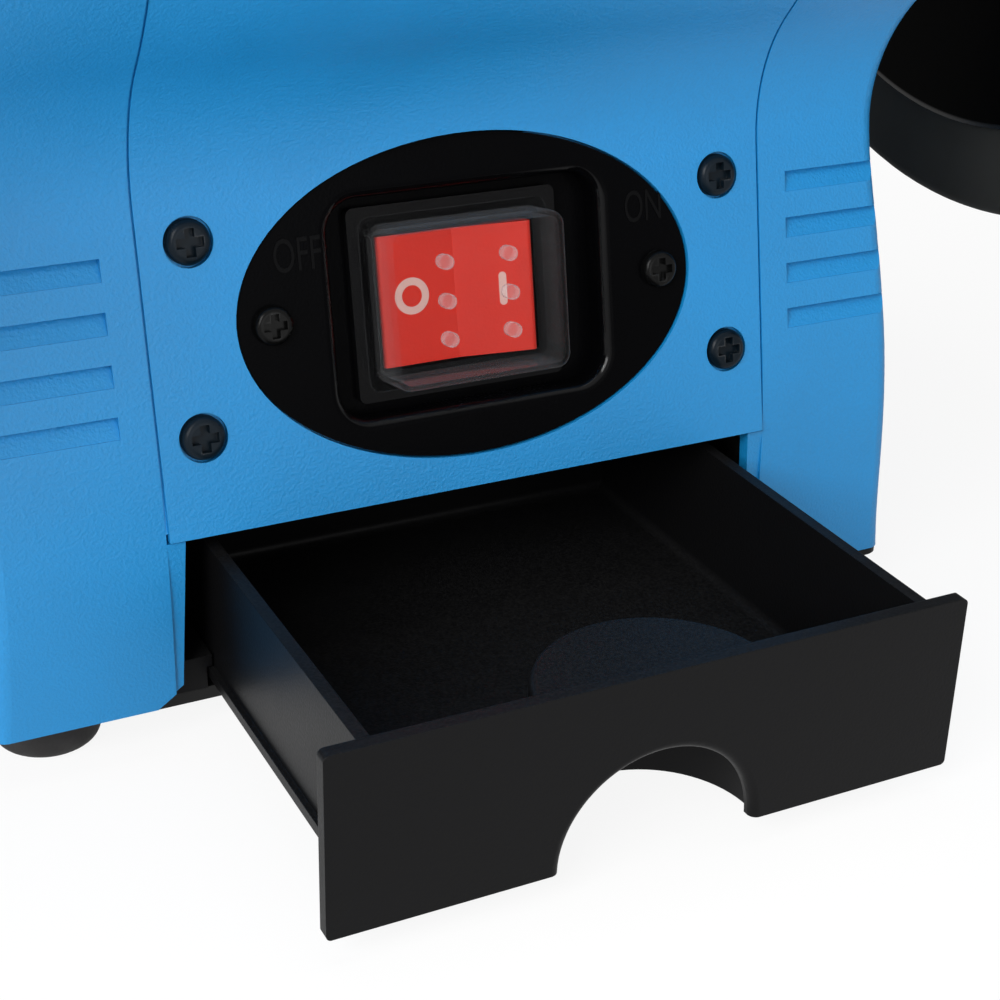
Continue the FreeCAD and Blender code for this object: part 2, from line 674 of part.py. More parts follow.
def make_rotor_core():
    """Squirrel-cage rotor with its two end rings."""
    end = STATOR_HALF
    profile = ((-end - 8, 18), (-end - 8, 26), (-end, 26), (-end, ROTOR_RADIUS), (end, ROTOR_RADIUS),
               (end, 26), (end + 8, 26), (end + 8, 18), (end, 16), (end, 11), (-end, 11), (-end, 16))
    return turned(profile)


def make_shaft():
    """Stepped shaft with a threaded end for each wheel."""
    right = [(SHAFT_END, 0), (SHAFT_END, THREAD_RADIUS - 1), (SHAFT_END - 1, THREAD_RADIUS),
             (SHOULDER, THREAD_RADIUS), (SHOULDER, SHAFT_RADIUS), (100, SHAFT_RADIUS), (100, 11)]
    left = [(-x, radius) for x, radius in reversed(right)]
    return turned(right + left)


def make_run_capacitor():
    """Round capacitor lying under the motor."""
    can = rod_x(15.0, -21, 21, 22, 60)
    return fillet_where(can, 2.0, lambda p: abs(p.x) > 20.9)


def make_cable_gland():
    """Cable gland at the back: hexagon, domed nut and the bore for the lead."""
    wall = FRONT_DEPTH
    hexagon = hex_nut(22.0, 5.0, 0)
    neck = Part.makeCylinder(8.0, 12.0, V(0, 0, -9))
    dome = Part.makeCone(9.6, 7.0, 10.0, V(0, 0, 5))
    locknut = hex_nut(21.0, 3.5, -COVER_WALL - 3.5)
    gland = fuse([hexagon, neck, dome, locknut]).cut(rod(4.0, (0, 0, -20), (0, 0, 1), 60))
    return placed(gland, (GLAND_X, wall, GLAND_Z), (0, 1, 0))


def hex_nut(flats, height, start):
    """Hexagonal block on the local Z axis."""
    reach = flats / math.sqrt(3)
    corners = []
    for index in range(6):
        angle = math.radians(60 * index)
        corners.append((reach * math.cos(angle), reach * math.sin(angle)))
    block = prism_z(corners, start, start + height)
    crown = Part.makeCone(reach + height * 1.5, flats / 2 - 0.4, height, V(0, 0, start))
    return block.common(crown)


def window_prism():
    """Front window of a guard as a prism along X.

    It runs from just below the tool rest up to the spark arrestor's radial edge.
    """
    top = V(0, -math.cos(WINDOW_TOP_ANGLE), math.sin(WINDOW_TOP_ANGLE))
    inner = top * 66.0
    outer = top * 125.0
    low = V(0, -64.0, WINDOW_LOW)
    outline = [(inner.y, inner.z), (outer.y, outer.z), (-150, outer.z), (-150, WINDOW_LOW), (low.y, low.z)]
    prism = prism_x([(y, z + SHAFT_HEIGHT) for y, z in outline], 120, 200)

    def inner_corner(point):
        height = point.z - SHAFT_HEIGHT
        reach = math.hypot(point.y, height)
        return abs(point.x - 160) < 1 and reach < 70

    return fillet_where(prism, 9.0, inner_corner)


def make_right_inner_guard():
    """Pressed guard cup: raised centre, flat ring and rim, with lugs and the arrestor's tab."""
    dish = GUARD_FACE - GUARD_DISH
    sheet = SHEET
    rim = GUARD_RADIUS
    corner = GUARD_CORNER

    def at(x, radius):
        return V(x, 0, SHAFT_HEIGHT + radius)

    bend = corner * (1 - math.sqrt(0.5))
    inside = bend + sheet * math.sqrt(0.5)
    edges = Part.makePolygon([at(GUARD_RIM_END, rim), at(GUARD_RIM_END, rim - sheet),
                              at(GUARD_FACE + corner, rim - sheet)]).Edges
    edges.append(Part.Arc(at(GUARD_FACE + corner, rim - sheet), at(GUARD_FACE + inside, rim - inside),
                          at(GUARD_FACE + sheet, rim - corner)).toShape())
    step = GUARD_DISH_RADIUS
    edges += Part.makePolygon([at(GUARD_FACE + sheet, rim - corner), at(GUARD_FACE + sheet, step - 1.4),
                               at(dish + sheet, step - 1.8), at(dish + sheet, 19), at(dish, 19),
                               at(dish, step - 0.4), at(GUARD_FACE, step),
                               at(GUARD_FACE, rim - corner)]).Edges
    edges.append(Part.Arc(at(GUARD_FACE, rim - corner), at(GUARD_FACE + bend, rim - bend),
                          at(GUARD_FACE + corner, rim)).toShape())
    edges.append(Part.LineSegment(at(GUARD_FACE + corner, rim), at(GUARD_RIM_END, rim)).toShape())
    cup = Part.Face(Part.Wire(edges)).revolve(V(0, 0, SHAFT_HEIGHT), V(1, 0, 0), 360).cut(window_prism())
    lug = box(GUARD_RIM_END - 9, GUARD_RIM_END, 91.5, rim - 1.2, SHAFT_HEIGHT - 6, SHAFT_HEIGHT + 6)
    pieces = [cup]
    for angle in GUARD_LUGS:
        turn = lug.copy()
        turn.rotate(V(0, 0, SHAFT_HEIGHT), V(1, 0, 0), angle)
        pieces.append(turn)
    pieces.append(radial(Part.makeBox(30, 22, 2.5, V(139, rim - 0.8, -2.5))))
    guard = fuse(pieces)
    holes = [rod_x(2.0, GUARD_RIM_END - 20, GUARD_RIM_END + 5, *place) for place in lug_places()]
    holes += [rod_x(2.6, 120, 140, *place) for place in bell_bolts()]
    holes += [radial(rod(2.1, (x, ARRESTOR_SCREW, -5), (0, 0, 1), 10)) for x in arrestor_screw_places()]
    return guard.cut(holes)


def lug_places():
    """Middles of the outer guard's screws."""
    places = []
    for angle in GUARD_LUGS:
        turn = math.radians(angle)
        places.append((GUARD_LUG_RADIUS * math.cos(turn), SHAFT_HEIGHT + GUARD_LUG_RADIUS * math.sin(turn)))
    return places


def radial(shape):
    """Place a shape drawn with Y out from the shaft and Z into the window, at its upper edge."""
    turn = FreeCAD.Rotation(V(1, 0, 0), 180 - math.degrees(WINDOW_TOP_ANGLE))
    copy = shape.copy()
    copy.Placement = FreeCAD.Placement(V(0, 0, SHAFT_HEIGHT), turn).multiply(copy.Placement)
    return copy


def arrestor_screw_places():
    """X of the two screws of a spark arrestor."""
    return (REST_CENTRE - 8.0, REST_CENTRE + 5.0)


def make_right_outer_guard():
    """Outer guard: flat ring and a bulged middle over the wheel nut."""
    x0 = GUARD_RIM_END
    x1 = SHAFT_END + 2.5
    profile = ((x0, GUARD_RADIUS), (x0, 60), (x1, 46), (x1, 0), (x1 + SHEET, 0), (x1 + SHEET, 46.6),
               (x0 + SHEET, 60.6), (x0 + SHEET, GUARD_RADIUS - 1), (x0 + 0.6, GUARD_RADIUS))
    cover = turned(profile).cut(window_prism())
    return cover.cut([rod_x(2.6, x0 - 5, x0 + 5, *place) for place in lug_places()])


def make_right_wheel():
    """Grinding wheel with slightly broken edges."""
    x0 = WHEEL_FACE
    x1 = x0 + WHEEL_WIDTH
    r = WHEEL_RADIUS
    return turned(((x0, WHEEL_BORE), (x0, r - 0.8), (x0 + 0.8, r), (x1 - 0.8, r), (x1, r - 0.8),
                   (x1, WHEEL_BORE)))


def make_right_inner_flange():
    """Inner clamping flange with the spigot that centres the wheel."""
    x1 = WHEEL_FACE
    r = FLANGE_RADIUS
    return turned(((SHOULDER, THREAD_RADIUS), (SHOULDER, 16), (SHOULDER + 4, r - 1), (SHOULDER + 5, r),
                   (x1, r), (x1, r - 6), (x1 - 1, r - 6), (x1 - 1, WHEEL_BORE), (x1 + 18, WHEEL_BORE),
                   (x1 + 18, THREAD_RADIUS)))


def make_right_outer_flange():
    """Outer clamping flange, hollowed towards the wheel."""
    x0 = WHEEL_FACE + WHEEL_WIDTH
    r = FLANGE_RADIUS
    return turned(((x0, r), (x0, r - 6), (x0 + 1, r - 6), (x0 + 1, THREAD_RADIUS),
                   (x0 + 8, THREAD_RADIUS), (x0 + 8, 16), (x0 + 4, r - 1), (x0 + 3, r)))


def make_right_wheel_nut():
    """Hexagonal nut on the shaft's thread."""
    start = WHEEL_FACE + WHEEL_WIDTH + 8
    nut = hex_nut(NUT_FLATS, 11.0, 0).cut(rod(THREAD_RADIUS, (0, 0, -1), (0, 0, 1), 20))
    return placed(nut, (start, 0, SHAFT_HEIGHT), (1, 0, 0))


def make_right_rest_bracket():
    """Welded bracket under the tool rest: a shelf on two gussets that meet the guard's rim."""
    half = 18.0
    shelf = ((-133, REST_SHELF), (-133, REST_SHELF - 3), (-70, REST_SHELF - 3), (-70, REST_SHELF))
    gusset = ((-133, REST_SHELF), (-133, REST_SHELF - 6), (-78, -70), (-60, REST_SHELF))
    solids = [prism_x([(y, z + SHAFT_HEIGHT) for y, z in shelf], REST_CENTRE - half, REST_CENTRE + half)]
    for x in (REST_CENTRE - half, REST_CENTRE + half - 3):
        solids.append(prism_x([(y, z + SHAFT_HEIGHT) for y, z in gusset], x, x + 3))
    bracket = fuse(solids).cut(rod_x(GUARD_RADIUS, 100, 200))
    return bracket.cut(rod(4.1, (REST_CENTRE, REST_BOLT, 0), (0, 0, 1), 200))


def make_right_tool_rest():
    """Tool rest: flat table, front web, slotted foot and a rib at each side of the foot."""
    back = -WHEEL_RADIUS - REST_GAP
    foot = REST_SHELF + SLACK
    x0 = REST_CENTRE - REST_WIDTH / 2
    x1 = REST_CENTRE + REST_WIDTH / 2
    section = ((back, REST_TOP), (back, REST_TOP - 4.5), (REST_FRONT + 8, REST_TOP - 4.5),
               (REST_FRONT + 4, REST_TOP - 8), (REST_FRONT + 4, foot + 3.5), (-101.5, foot + 3.5),
               (-101.5, foot), (REST_FRONT, foot), (REST_FRONT, REST_TOP))
    rest = prism_x([(y, z + SHAFT_HEIGHT) for y, z in section], x0, x1)
    front = REST_FRONT + 0.01
    rest = fillet_where(rest, 2.0, lambda p: p.y < front and abs(p.x - REST_CENTRE) < 1)
    low = SHAFT_HEIGHT + REST_TOP - 6
    sides = [box(x, x + 20, -125, -100, 0, low) for x in (x0 - 8, x1 - 12)]
    slot = [rod(4.4, (REST_CENTRE, REST_BOLT - 2, 0), (0, 0, 1), low),
            box(REST_CENTRE - 4.4, REST_CENTRE + 4.4, REST_BOLT - 2, -90, 0, low)]
    return rest.cut(sides + slot)


def make_rest_bolts():
    """Hexagon bolt of each tool rest with its washer and nut."""
    head = REST_SHELF + SLACK + 3.5 + SLACK
    washer = Part.makeCylinder(8.0, 1.6)
    hexagon = hex_nut(13.0, 5.3, 1.6)
    shank = rod(4.0, (0, 0, -14), (0, 0, 1), 14)
    nut = hex_nut(13.0, 6.5, 0)
    nut.translate(V(0, 0, REST_SHELF - 3 - 6.5 - head))
    bolt = fuse([washer, hexagon, shank, nut])
    return both_ends([placed(bolt, (REST_CENTRE, REST_BOLT, SHAFT_HEIGHT + head), (0, 0, 1))])


def make_right_spark_arrestor():
    """Slotted steel plate that closes the gap above the wheel."""
    corner = V(REST_CENTRE - 16, ARRESTOR_INNER, SLACK)
    plate = Part.makeBox(28, ARRESTOR_OUTER - ARRESTOR_INNER, 2.5, corner)
    cuts = []
    for x in arrestor_screw_places():
        for y in (ARRESTOR_SCREW - 6.5, ARRESTOR_SCREW + 2.0):
            cuts.append(rod(2.3, (x, y, -5), (0, 0, 1), 10))
        cuts.append(Part.makeBox(4.6, 8.5, 10, V(x - 2.3, ARRESTOR_SCREW - 6.5, -5)))
    return radial(plate.cut(cuts))


def make_spark_screws():
    """Two screws through each arrestor's slots into the guard's tab."""
    screw = pan_screw(3.6, 2.2, 2.0, 8.0)
    solids = []
    for x in arrestor_screw_places():
        local = placed(screw, (x, ARRESTOR_SCREW, 2.5 + 2 * SLACK), (0, 0, 1))
        solids.append(radial(local))
    return both_ends(solids)


def make_right_shield_bracket():
    """Flat steel arm from the guard's face to the eye shield's pivot."""
    x1 = GUARD_FACE
    x0 = x1 - 3.5
    y, z = SHIELD_PIVOT
    z += SHAFT_HEIGHT
    arm = fuse([box(x0, x1, y, -1, z - 7, z + 7), rod_x(7.0, x0, x1, y, z), rod_x(7.0, x0, x1, -1, z)])
    return arm.cut([rod_x(4.0, x0 - 1, x1 + 1, y, z)])


def shield_frame(shape):
    """Place a shape drawn with Y up the shield and Z out of it, hanging from the pivot."""
    y, z = SHIELD_PIVOT
    turn = FreeCAD.Rotation(V(1, 0, 0), 90 - math.degrees(SHIELD_LEAN))
    copy = shape.copy()
    copy.Placement = FreeCAD.Placement(V(0, y, SHAFT_HEIGHT + z), turn).multiply(copy.Placement)
    return copy


def make_right_shield_holder():
    """Folded holder: an ear on the pivot and a strip that carries the eye shield."""
    x1 = GUARD_FACE - 3.5 - SLACK
    x0 = x1 - 4.0
    ear = fuse([rod(8.0, (x0, 0, 0), (1, 0, 0), 4.0), Part.makeBox(4.0, 27.0, 8.0, V(x0, -27.0, -8.0))])
    strip = Part.makeBox(REST_CENTRE + 31 - x0, 13.0, 4.0, V(x0, -27.0, -4.0))
    holder = fuse([ear, strip])
    return shield_frame(holder.cut(rod(4.1, (x0 - 1, 0, 0), (1, 0, 0), 6)))


def make_right_eye_shield():
    """Clear shield with rounded corners, in front of the holder's strip."""
    middle = -13.0 - SHIELD_LENGTH / 2
    lens = rounded_block(SHIELD_WIDTH, SHIELD_LENGTH, 0, 3.0, 8.0)
    lens.translate(V(REST_CENTRE - 1.5, middle, 0))
    return shield_frame(lens)


def make_shield_pivots():
    """Pivot bolt of each eye shield, with its head beside the holder's ear."""
    y, z = SHIELD_PIVOT
    start = GUARD_FACE - 3.5 - SLACK - 4.0 - SLACK
    head = hex_nut(13.0, 5.0, 0)
    shank = rod(4.0, (0, 0, -14), (0, 0, 1), 14)
    nut = hex_nut(13.0, 6.0, 0)
    nut.translate(V(0, 0, start - GUARD_FACE - 6.0))
    bolt = fuse([head, shank, nut])
    return both_ends([placed(bolt, (start, y, SHAFT_HEIGHT + z), (-1, 0, 0))])


def make_guard_bolts():
    """Three bolts through each guard's centre into its bell."""
    bolt = fuse([hex_nut(8.0, 3.5, 0), rod(2.5, (0, 0, -10), (0, 0, 1), 10)])
    inside = GUARD_FACE - GUARD_DISH + SHEET
    return both_ends([placed(bolt, (inside, y, z), (1, 0, 0)) for y, z in bell_bolts()])


def make_guard_screws():
    """Three pan screws through each outer guard into the rim's lugs."""
    screw = pan_screw(4.6, 2.8, 2.0, 9.0)
    return both_ends([placed(screw, (GUARD_RIM_END + SHEET, y, z), (1, 0, 0)) for y, z in lug_places()])


def make_end(name, make):
    """Right-hand piece and its mirror image, each in its own node."""
    right = make()
    return {"right_" + name: right, "left_" + name: mirrored(right)}


def build():
    """Every node of the grinder by name."""
    outer_rings, inner_rings, balls = make_bearing_rings()
    nodes = {
        "base_plate": make_base_plate(),
        "rubber_feet": make_rubber_feet(),
        "foot_screws": make_foot_screws(),
        "pedestal_frame": make_pedestal_frame(),
        "front_cover": make_front_cover(),
        "rear_cover": make_rear_cover(),
        "front_screws": make_front_screws(),
        "rear_screws": [to_back(screw) for screw in make_front_screws()],
        "switch_bezel": make_switch_bezel(),
        "bezel_screws": make_bezel_screws(),
        "switch_body": make_switch_body(),
        "rocker": make_rocker(),
        "switch_cover": make_switch_cover(),
        "drawer": make_drawer(),
        "motor_cradle": make_motor_cradle(),
        "stator_core": make_stator_core(),
        "stator_windings": make_stator_windings(),
        "rotor_core": make_rotor_core(),
        "shaft": make_shaft(),
        "bearing_outer_rings": outer_rings,
        "bearing_inner_rings": inner_rings,
        "bearing_balls": balls,
        "run_capacitor": make_run_capacitor(),
        "cable_gland": make_cable_gland(),
        "guard_bolts": make_guard_bolts(),
        "guard_screws": make_guard_screws(),
        "rest_bolts": make_rest_bolts(),
        "spark_screws": make_spark_screws(),
        "shield_pivots": make_shield_pivots(),
    }
    ends = {
        "cheek": make_right_cheek,
        "drawer_rail": make_drawer_rail,
        "end_bell": make_right_end_bell,
        "inner_guard": make_right_inner_guard,
        "outer_guard": make_right_outer_guard,
        "wheel": make_right_wheel,
        "inner_flange": make_right_inner_flange,
        "outer_flange": make_right_outer_flange,
        "wheel_nut": make_right_wheel_nut,
        "rest_bracket": make_right_rest_bracket,
        "tool_rest": make_right_tool_rest,
        "spark_arrestor": make_right_spark_arrestor,
        "shield_bracket": make_right_shield_bracket,
        "shield_holder": make_right_shield_holder,
        "eye_shield": make_right_eye_shield,
    }
    for name, make in ends.items():
        nodes.update(make_end(name, make))
    return nodes


def main():
    """Write one file per node."""
    os.makedirs("parts", exist_ok=True)
    for name, shape in build().items():
        solid = Part.makeCompound(shape) if isinstance(shape, list) else shape
        solid.exportStep("parts/" + name + ".step")


main()
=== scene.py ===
"""Looks of a bench grinder with a storage drawer, on a white studio floor.

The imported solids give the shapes. This script gives every solid its finish, adds the printed and
raised marks of the switch, the tongues in the seams and the edging under the right cheek, and sets
up the floor, the lamps and the camera.
"""

from __future__ import annotations

import json
import logging
import math
from abc import ABC, abstractmethod
from dataclasses import dataclass, field
from enum import Enum
from typing import Any, Iterable, Sequence

import bmesh
import bpy
from mathutils import Matrix, Vector
from mathutils.bvhtree import BVHTree

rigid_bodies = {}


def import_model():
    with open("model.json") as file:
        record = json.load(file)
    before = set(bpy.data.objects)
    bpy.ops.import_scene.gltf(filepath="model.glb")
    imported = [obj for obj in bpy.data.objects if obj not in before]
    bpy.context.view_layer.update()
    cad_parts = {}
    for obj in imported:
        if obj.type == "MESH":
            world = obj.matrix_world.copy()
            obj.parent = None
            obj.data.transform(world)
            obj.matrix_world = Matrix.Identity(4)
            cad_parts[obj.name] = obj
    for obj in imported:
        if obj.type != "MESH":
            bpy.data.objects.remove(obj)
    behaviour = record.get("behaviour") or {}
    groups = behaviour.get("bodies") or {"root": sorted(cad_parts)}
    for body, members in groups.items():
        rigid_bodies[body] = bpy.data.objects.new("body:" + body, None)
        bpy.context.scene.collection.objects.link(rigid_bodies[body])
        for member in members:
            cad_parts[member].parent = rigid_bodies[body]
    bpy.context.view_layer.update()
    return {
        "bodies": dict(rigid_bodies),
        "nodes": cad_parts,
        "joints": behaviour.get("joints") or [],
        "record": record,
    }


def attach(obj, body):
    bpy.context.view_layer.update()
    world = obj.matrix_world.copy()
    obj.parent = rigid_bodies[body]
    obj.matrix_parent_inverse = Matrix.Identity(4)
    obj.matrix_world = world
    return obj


LOG = logging.getLogger("bench_grinder")
MM = 0.001
SHAFT_HEIGHT = 154 * MM
# Distance in metres from one stripe to the next in a Wave texture of scale 1.
WAVE_PITCH = 0.314
BEVEL_SAMPLES = 4
MERGE_DISTANCE = 1e-7

Colour = tuple[float, float, float]
Direction = tuple[float, float, float]

WHITE: Colour = (1.0, 1.0, 1.0)
UPWARD: Direction = (0.0, 0.0, 1.0)


def from_bytes(red: int, green: int, blue: int) -> Colour:
    """Turn a screen colour into scene-linear numbers.

    Args:
        red: Red of the screen colour, 0 to 255.
        green: Green of the screen colour, 0 to 255.
        blue: Blue of the screen colour, 0 to 255.

    Returns:
        The same colour as linear red, green and blue.
    """

    def linear(byte: int) -> float:
        """Undo the screen's tone curve for one channel."""
        level = byte / 255.0
        return level / 12.92 if level <= 0.04045 else ((level + 0.055) / 1.055) ** 2.4

    return linear(red), linear(green), linear(blue)


def toned(colour: Colour, factor: float, lift: float = 0.0) -> Colour:
    """Make a colour darker or lighter.

    Args:
        colour: The colour.
        factor: What each channel is multiplied by.
        lift: What is then added to each channel.

    Returns:
        The new colour, with no channel over 1.
    """
    red, green, blue = (min(1.0, channel * factor + lift) for channel in colour)
    return red, green, blue


class Side(Enum):
    """The two ends of the machine."""

    LEFT = -1
    RIGHT = 1

    @property
    def prefix(self) -> str:
        """Start of the names of this end's nodes."""
        return self.name.lower() + "_"


class Field:
    """What a node gives, with maths written as Python operators."""

    def __init__(self, graph: Graph, socket: bpy.types.NodeSocket) -> None:
        """Wrap a socket.

        Args:
            graph: The tree that the socket is in.
            socket: The output that carries the number, vector or colour.
        """
        self.graph = graph
        self.socket = socket

    def _maths(self, operation: str, first: Any, second: Any, clamp: bool = False) -> Field:
        """Add one Math node.

        Args:
            operation: The node's operation.
            first: A field or a number.
            second: A field or a number.
            clamp: Whether the result is held between 0 and 1.

        Returns:
            The node's result.
        """
        settings = {"operation": operation, "use_clamp": clamp}
        return self.graph.out("ShaderNodeMath", settings, {0: first, 1: second})

    def __add__(self, other: Any) -> Field:
        """This field plus another or a number."""
        return self._maths("ADD", self, other)

    __radd__ = __add__

    def __sub__(self, other: Any) -> Field:
        """This field minus another or a number."""
        return self._maths("SUBTRACT", self, other)

    def __rsub__(self, other: Any) -> Field:
        """A number minus this field."""
        return self._maths("SUBTRACT", other, self)

    def __mul__(self, other: Any) -> Field:
        """This field times another or a number."""
        return self._maths("MULTIPLY", self, other)

    __rmul__ = __mul__

    def __pow__(self, power: float) -> Field:
        """This field raised to a power."""
        return self._maths("POWER", self, power)

    def held(self) -> Field:
        """This field held between 0 and 1."""
        return self._maths("ADD", self, 0.0, clamp=True)

    def swing(self, amount: float) -> Field:
        """This field, from 0 to 1, as a change of up to half an amount down or up."""
        return (self - 0.5) * amount

    def band(self, low: float, high: float) -> Field:
        """Rise smoothly from 0 to 1.

        Args:
            low: Where the rise starts.
            high: Where the rise ends.

        Returns:
            The new field.
        """
        settings = {"interpolation_type": "SMOOTHSTEP"}
        inputs = {"Value": self, "From Min": low, "From Max": high}
        return self.graph.out("ShaderNodeMapRange", settings, inputs)


class Graph:
    """A node tree that is built in code."""

    def __init__(self, tree: bpy.types.NodeTree) -> None:
        """Start with an empty tree.

        Args:
            tree: The tree of a material, a world or a modifier.
        """
        self.tree = tree
        self.tree.nodes.clear()

    def node(
        self,
        kind: str,
        settings: dict[str, Any] | None = None,
        inputs: dict[Any, Any] | None = None,
    ) -> bpy.types.Node:
        """Add a node.

        Args:
            kind: The node's type.
            settings: Its properties, set first.
            inputs: Values or fields for its sockets, by name or number.

        Returns:
            The new node.
        """
        made = self.tree.nodes.new(kind)
        for key, value in (settings or {}).items():
            setattr(made, key, value)
        for key, value in (inputs or {}).items():
            socket = made.inputs[key]
            if isinstance(value, Field):
                self.tree.links.new(value.socket, socket)
            elif isinstance(value, tuple) and len(value) == 3 and socket.type == "RGBA":
                socket.default_value = (*value, 1.0)
            else:
                socket.default_value = value
        return made

    def out(
        self,
        kind: str,
        settings: dict[str, Any] | None = None,
        inputs: dict[Any, Any] | None = None,
        output: Any = 0,
    ) -> Field:
        """Add a node and take one of its outputs.

        Args:
            kind: The node's type.
            settings: Its properties.
            inputs: Values or fields for its sockets.
            output: The output's name or number.

        Returns:
            That output as a field.
        """
        return Field(self, self.node(kind, settings, inputs).outputs[output])

    def watched(self) -> Field:
        """Tell rays that start at the camera from others.

        Returns:
            1 on rays from the camera, by way of mirrors and clear pieces too, and 0 on others.
        """
        path = self.node("ShaderNodeLightPath")
        straight = Field(self, path.outputs["Is Camera Ray"])
        mirrored = Field(self, path.outputs["Is Glossy Ray"])
        through = Field(self, path.outputs["Is Transmission Ray"])
        return (straight + mirrored + through).held()


class Shader(Graph):
    """The node tree of one material."""

    def __init__(self, name: str) -> None:
        """Start an empty material.

        Args:
            name: The material's name.
        """
        self.material = bpy.data.materials.new(name)
        self.material.use_nodes = True
        super().__init__(self.material.node_tree)

    def place(self, stretch: Sequence[float] = (1.0, 1.0, 1.0)) -> Field:
        """Object coordinates, stretched along the axes.

        Args:
            stretch: Factor for each axis.

        Returns:
            The coordinates.
        """
        coords = self.out("ShaderNodeTexCoord", output="Object")
        if tuple(stretch) == (1.0, 1.0, 1.0):
            return coords
        return self.out("ShaderNodeMapping", None, {"Vector": coords, "Scale": tuple(stretch)})

    def about_shaft(self, stretch: Sequence[float] = (1.0, 1.0, 1.0)) -> Field:
        """Object coordinates, measured from the shaft's axis.

        Args:
            stretch: Factor for each axis.

        Returns:
            The coordinates.
        """
        shift = (0.0, 0.0, -SHAFT_HEIGHT)
        inputs = {"Vector": self.place(), "Location": shift, "Scale": tuple(stretch)}
        return self.out("ShaderNodeMapping", None, inputs)

    def from_shaft(self) -> Field:
        """Distance from the shaft's axis in metres."""
        flat = self.about_shaft((0.0, 1.0, 1.0))
        return self.out("ShaderNodeVectorMath", {"operation": "LENGTH"}, {0: flat}, "Value")

    def noise(self, size: float, detail: float = 2.0, place: Field | None = None) -> Field:
        """Soft random patches.

        Args:
            size: Size of a patch in metres.
            detail: How much finer structure is added.
            place: Coordinates, if not the plain ones.

        Returns:
            A field from 0 to 1.
        """
        inputs = {"Vector": place or self.place(), "Scale": 1.0 / size, "Detail": detail}
        return self.out("ShaderNodeTexNoise", None, inputs)

    def wave(
        self,
        pitch: float,
        distortion: float = 0.0,
        place: Field | None = None,
        **settings: str,
    ) -> Field:
        """Even stripes or rings.

        Args:
            pitch: Distance from one stripe to the next in metres.
            distortion: How far the stripes wander.
            place: Coordinates, if not the plain ones.
            **settings: The Wave node's type and direction.

        Returns:
            A field from 0 to 1.
        """
        scale = WAVE_PITCH / pitch
        inputs = {"Vector": place or self.place(), "Scale": scale, "Distortion": distortion}
        return self.out("ShaderNodeTexWave", settings, inputs)

    def mix(self, factor: Any, first: Any, second: Any) -> Field:
        """Blend two colours.

        Args:
            factor: 0 for the first, 1 for the second.
            first: A colour or a colour field.
            second: A colour or a colour field.

        Returns:
            The blended colour.
        """
        settings = {"data_type": "RGBA"}
        return self.out("ShaderNodeMix", settings, {0: factor, 6: first, 7: second}, 2)

    def bump(self, height: Field, depth: float, below: Field | None = None) -> Field:
        """A surface normal that follows a height field.

        Args:
            height: The height, from 0 to 1.
            depth: Height in metres of a step from 0 to 1.
            below: A normal to build on.

        Returns:
            The bent normal.
        """
        inputs: dict[Any, Any] = {"Height": height, "Strength": 1.0, "Distance": depth}
        if below is not None:
            inputs["Normal"] = below
        return self.out("ShaderNodeBump", None, inputs)

    def along(self, way: Direction) -> Field:
        """How far the surface faces one way.

        Args:
            way: The direction, of length 1.

        Returns:
            1 where the surface faces that way, 0 side on and -1 where it faces away.
        """
        facing = self.out("ShaderNodeTexCoord", output="Normal")
        settings = {"operation": "DOT_PRODUCT"}
        return self.out("ShaderNodeVectorMath", settings, {0: facing, 1: way}, "Value")

    def rounded(self, radius: float) -> Field:
        """The surface normal with its edges rounded off.

        Args:
            radius: Radius of the rounding in metres.

        Returns:
            The normal.
        """
        return self.out("ShaderNodeBevel", {"samples": BEVEL_SAMPLES}, {"Radius": radius})

    def edges(self, radius: float) -> Field:
        """How near a point is to an outer edge.

        Args:
            radius: Width of the edge band in metres.

        Returns:
            A field that is 0 on flat surface and about 1 on a sharp edge.
        """
        plain = self.out("ShaderNodeNewGeometry", output="Normal")
        settings = {"operation": "DOT_PRODUCT"}
        normals = {0: self.rounded(radius), 1: plain}
        same = self.out("ShaderNodeVectorMath", settings, normals, "Value")
        return (1.0 - same).band(0.01, 0.2)

    def surface(self, **inputs: Any) -> bpy.types.Material:
        """End the tree in one Principled surface.

        Args:
            **inputs: Socket values, with underscores for spaces.

        Returns:
            The finished material.
        """
        named = {key.replace("_", " "): value for key, value in inputs.items()}
        shaded = self.out("ShaderNodeBsdfPrincipled", None, named)
        return self.close(shaded)

    def close(self, shaded: Field) -> bpy.types.Material:
        """Link a shader to the material's output.

        Args:
            shaded: The shader.

        Returns:
            The finished material.
        """
        self.node("ShaderNodeOutputMaterial", None, {"Surface": shaded})
        return self.material


@dataclass(frozen=True)
class Finish(ABC):
    """A finish that can be laid on pieces."""

    @abstractmethod
    def fill(self, shader: Shader) -> bpy.types.Material:
        """Build the finish in an empty material.

        Args:
            shader: The empty material.

        Returns:
            The finished material.
        """


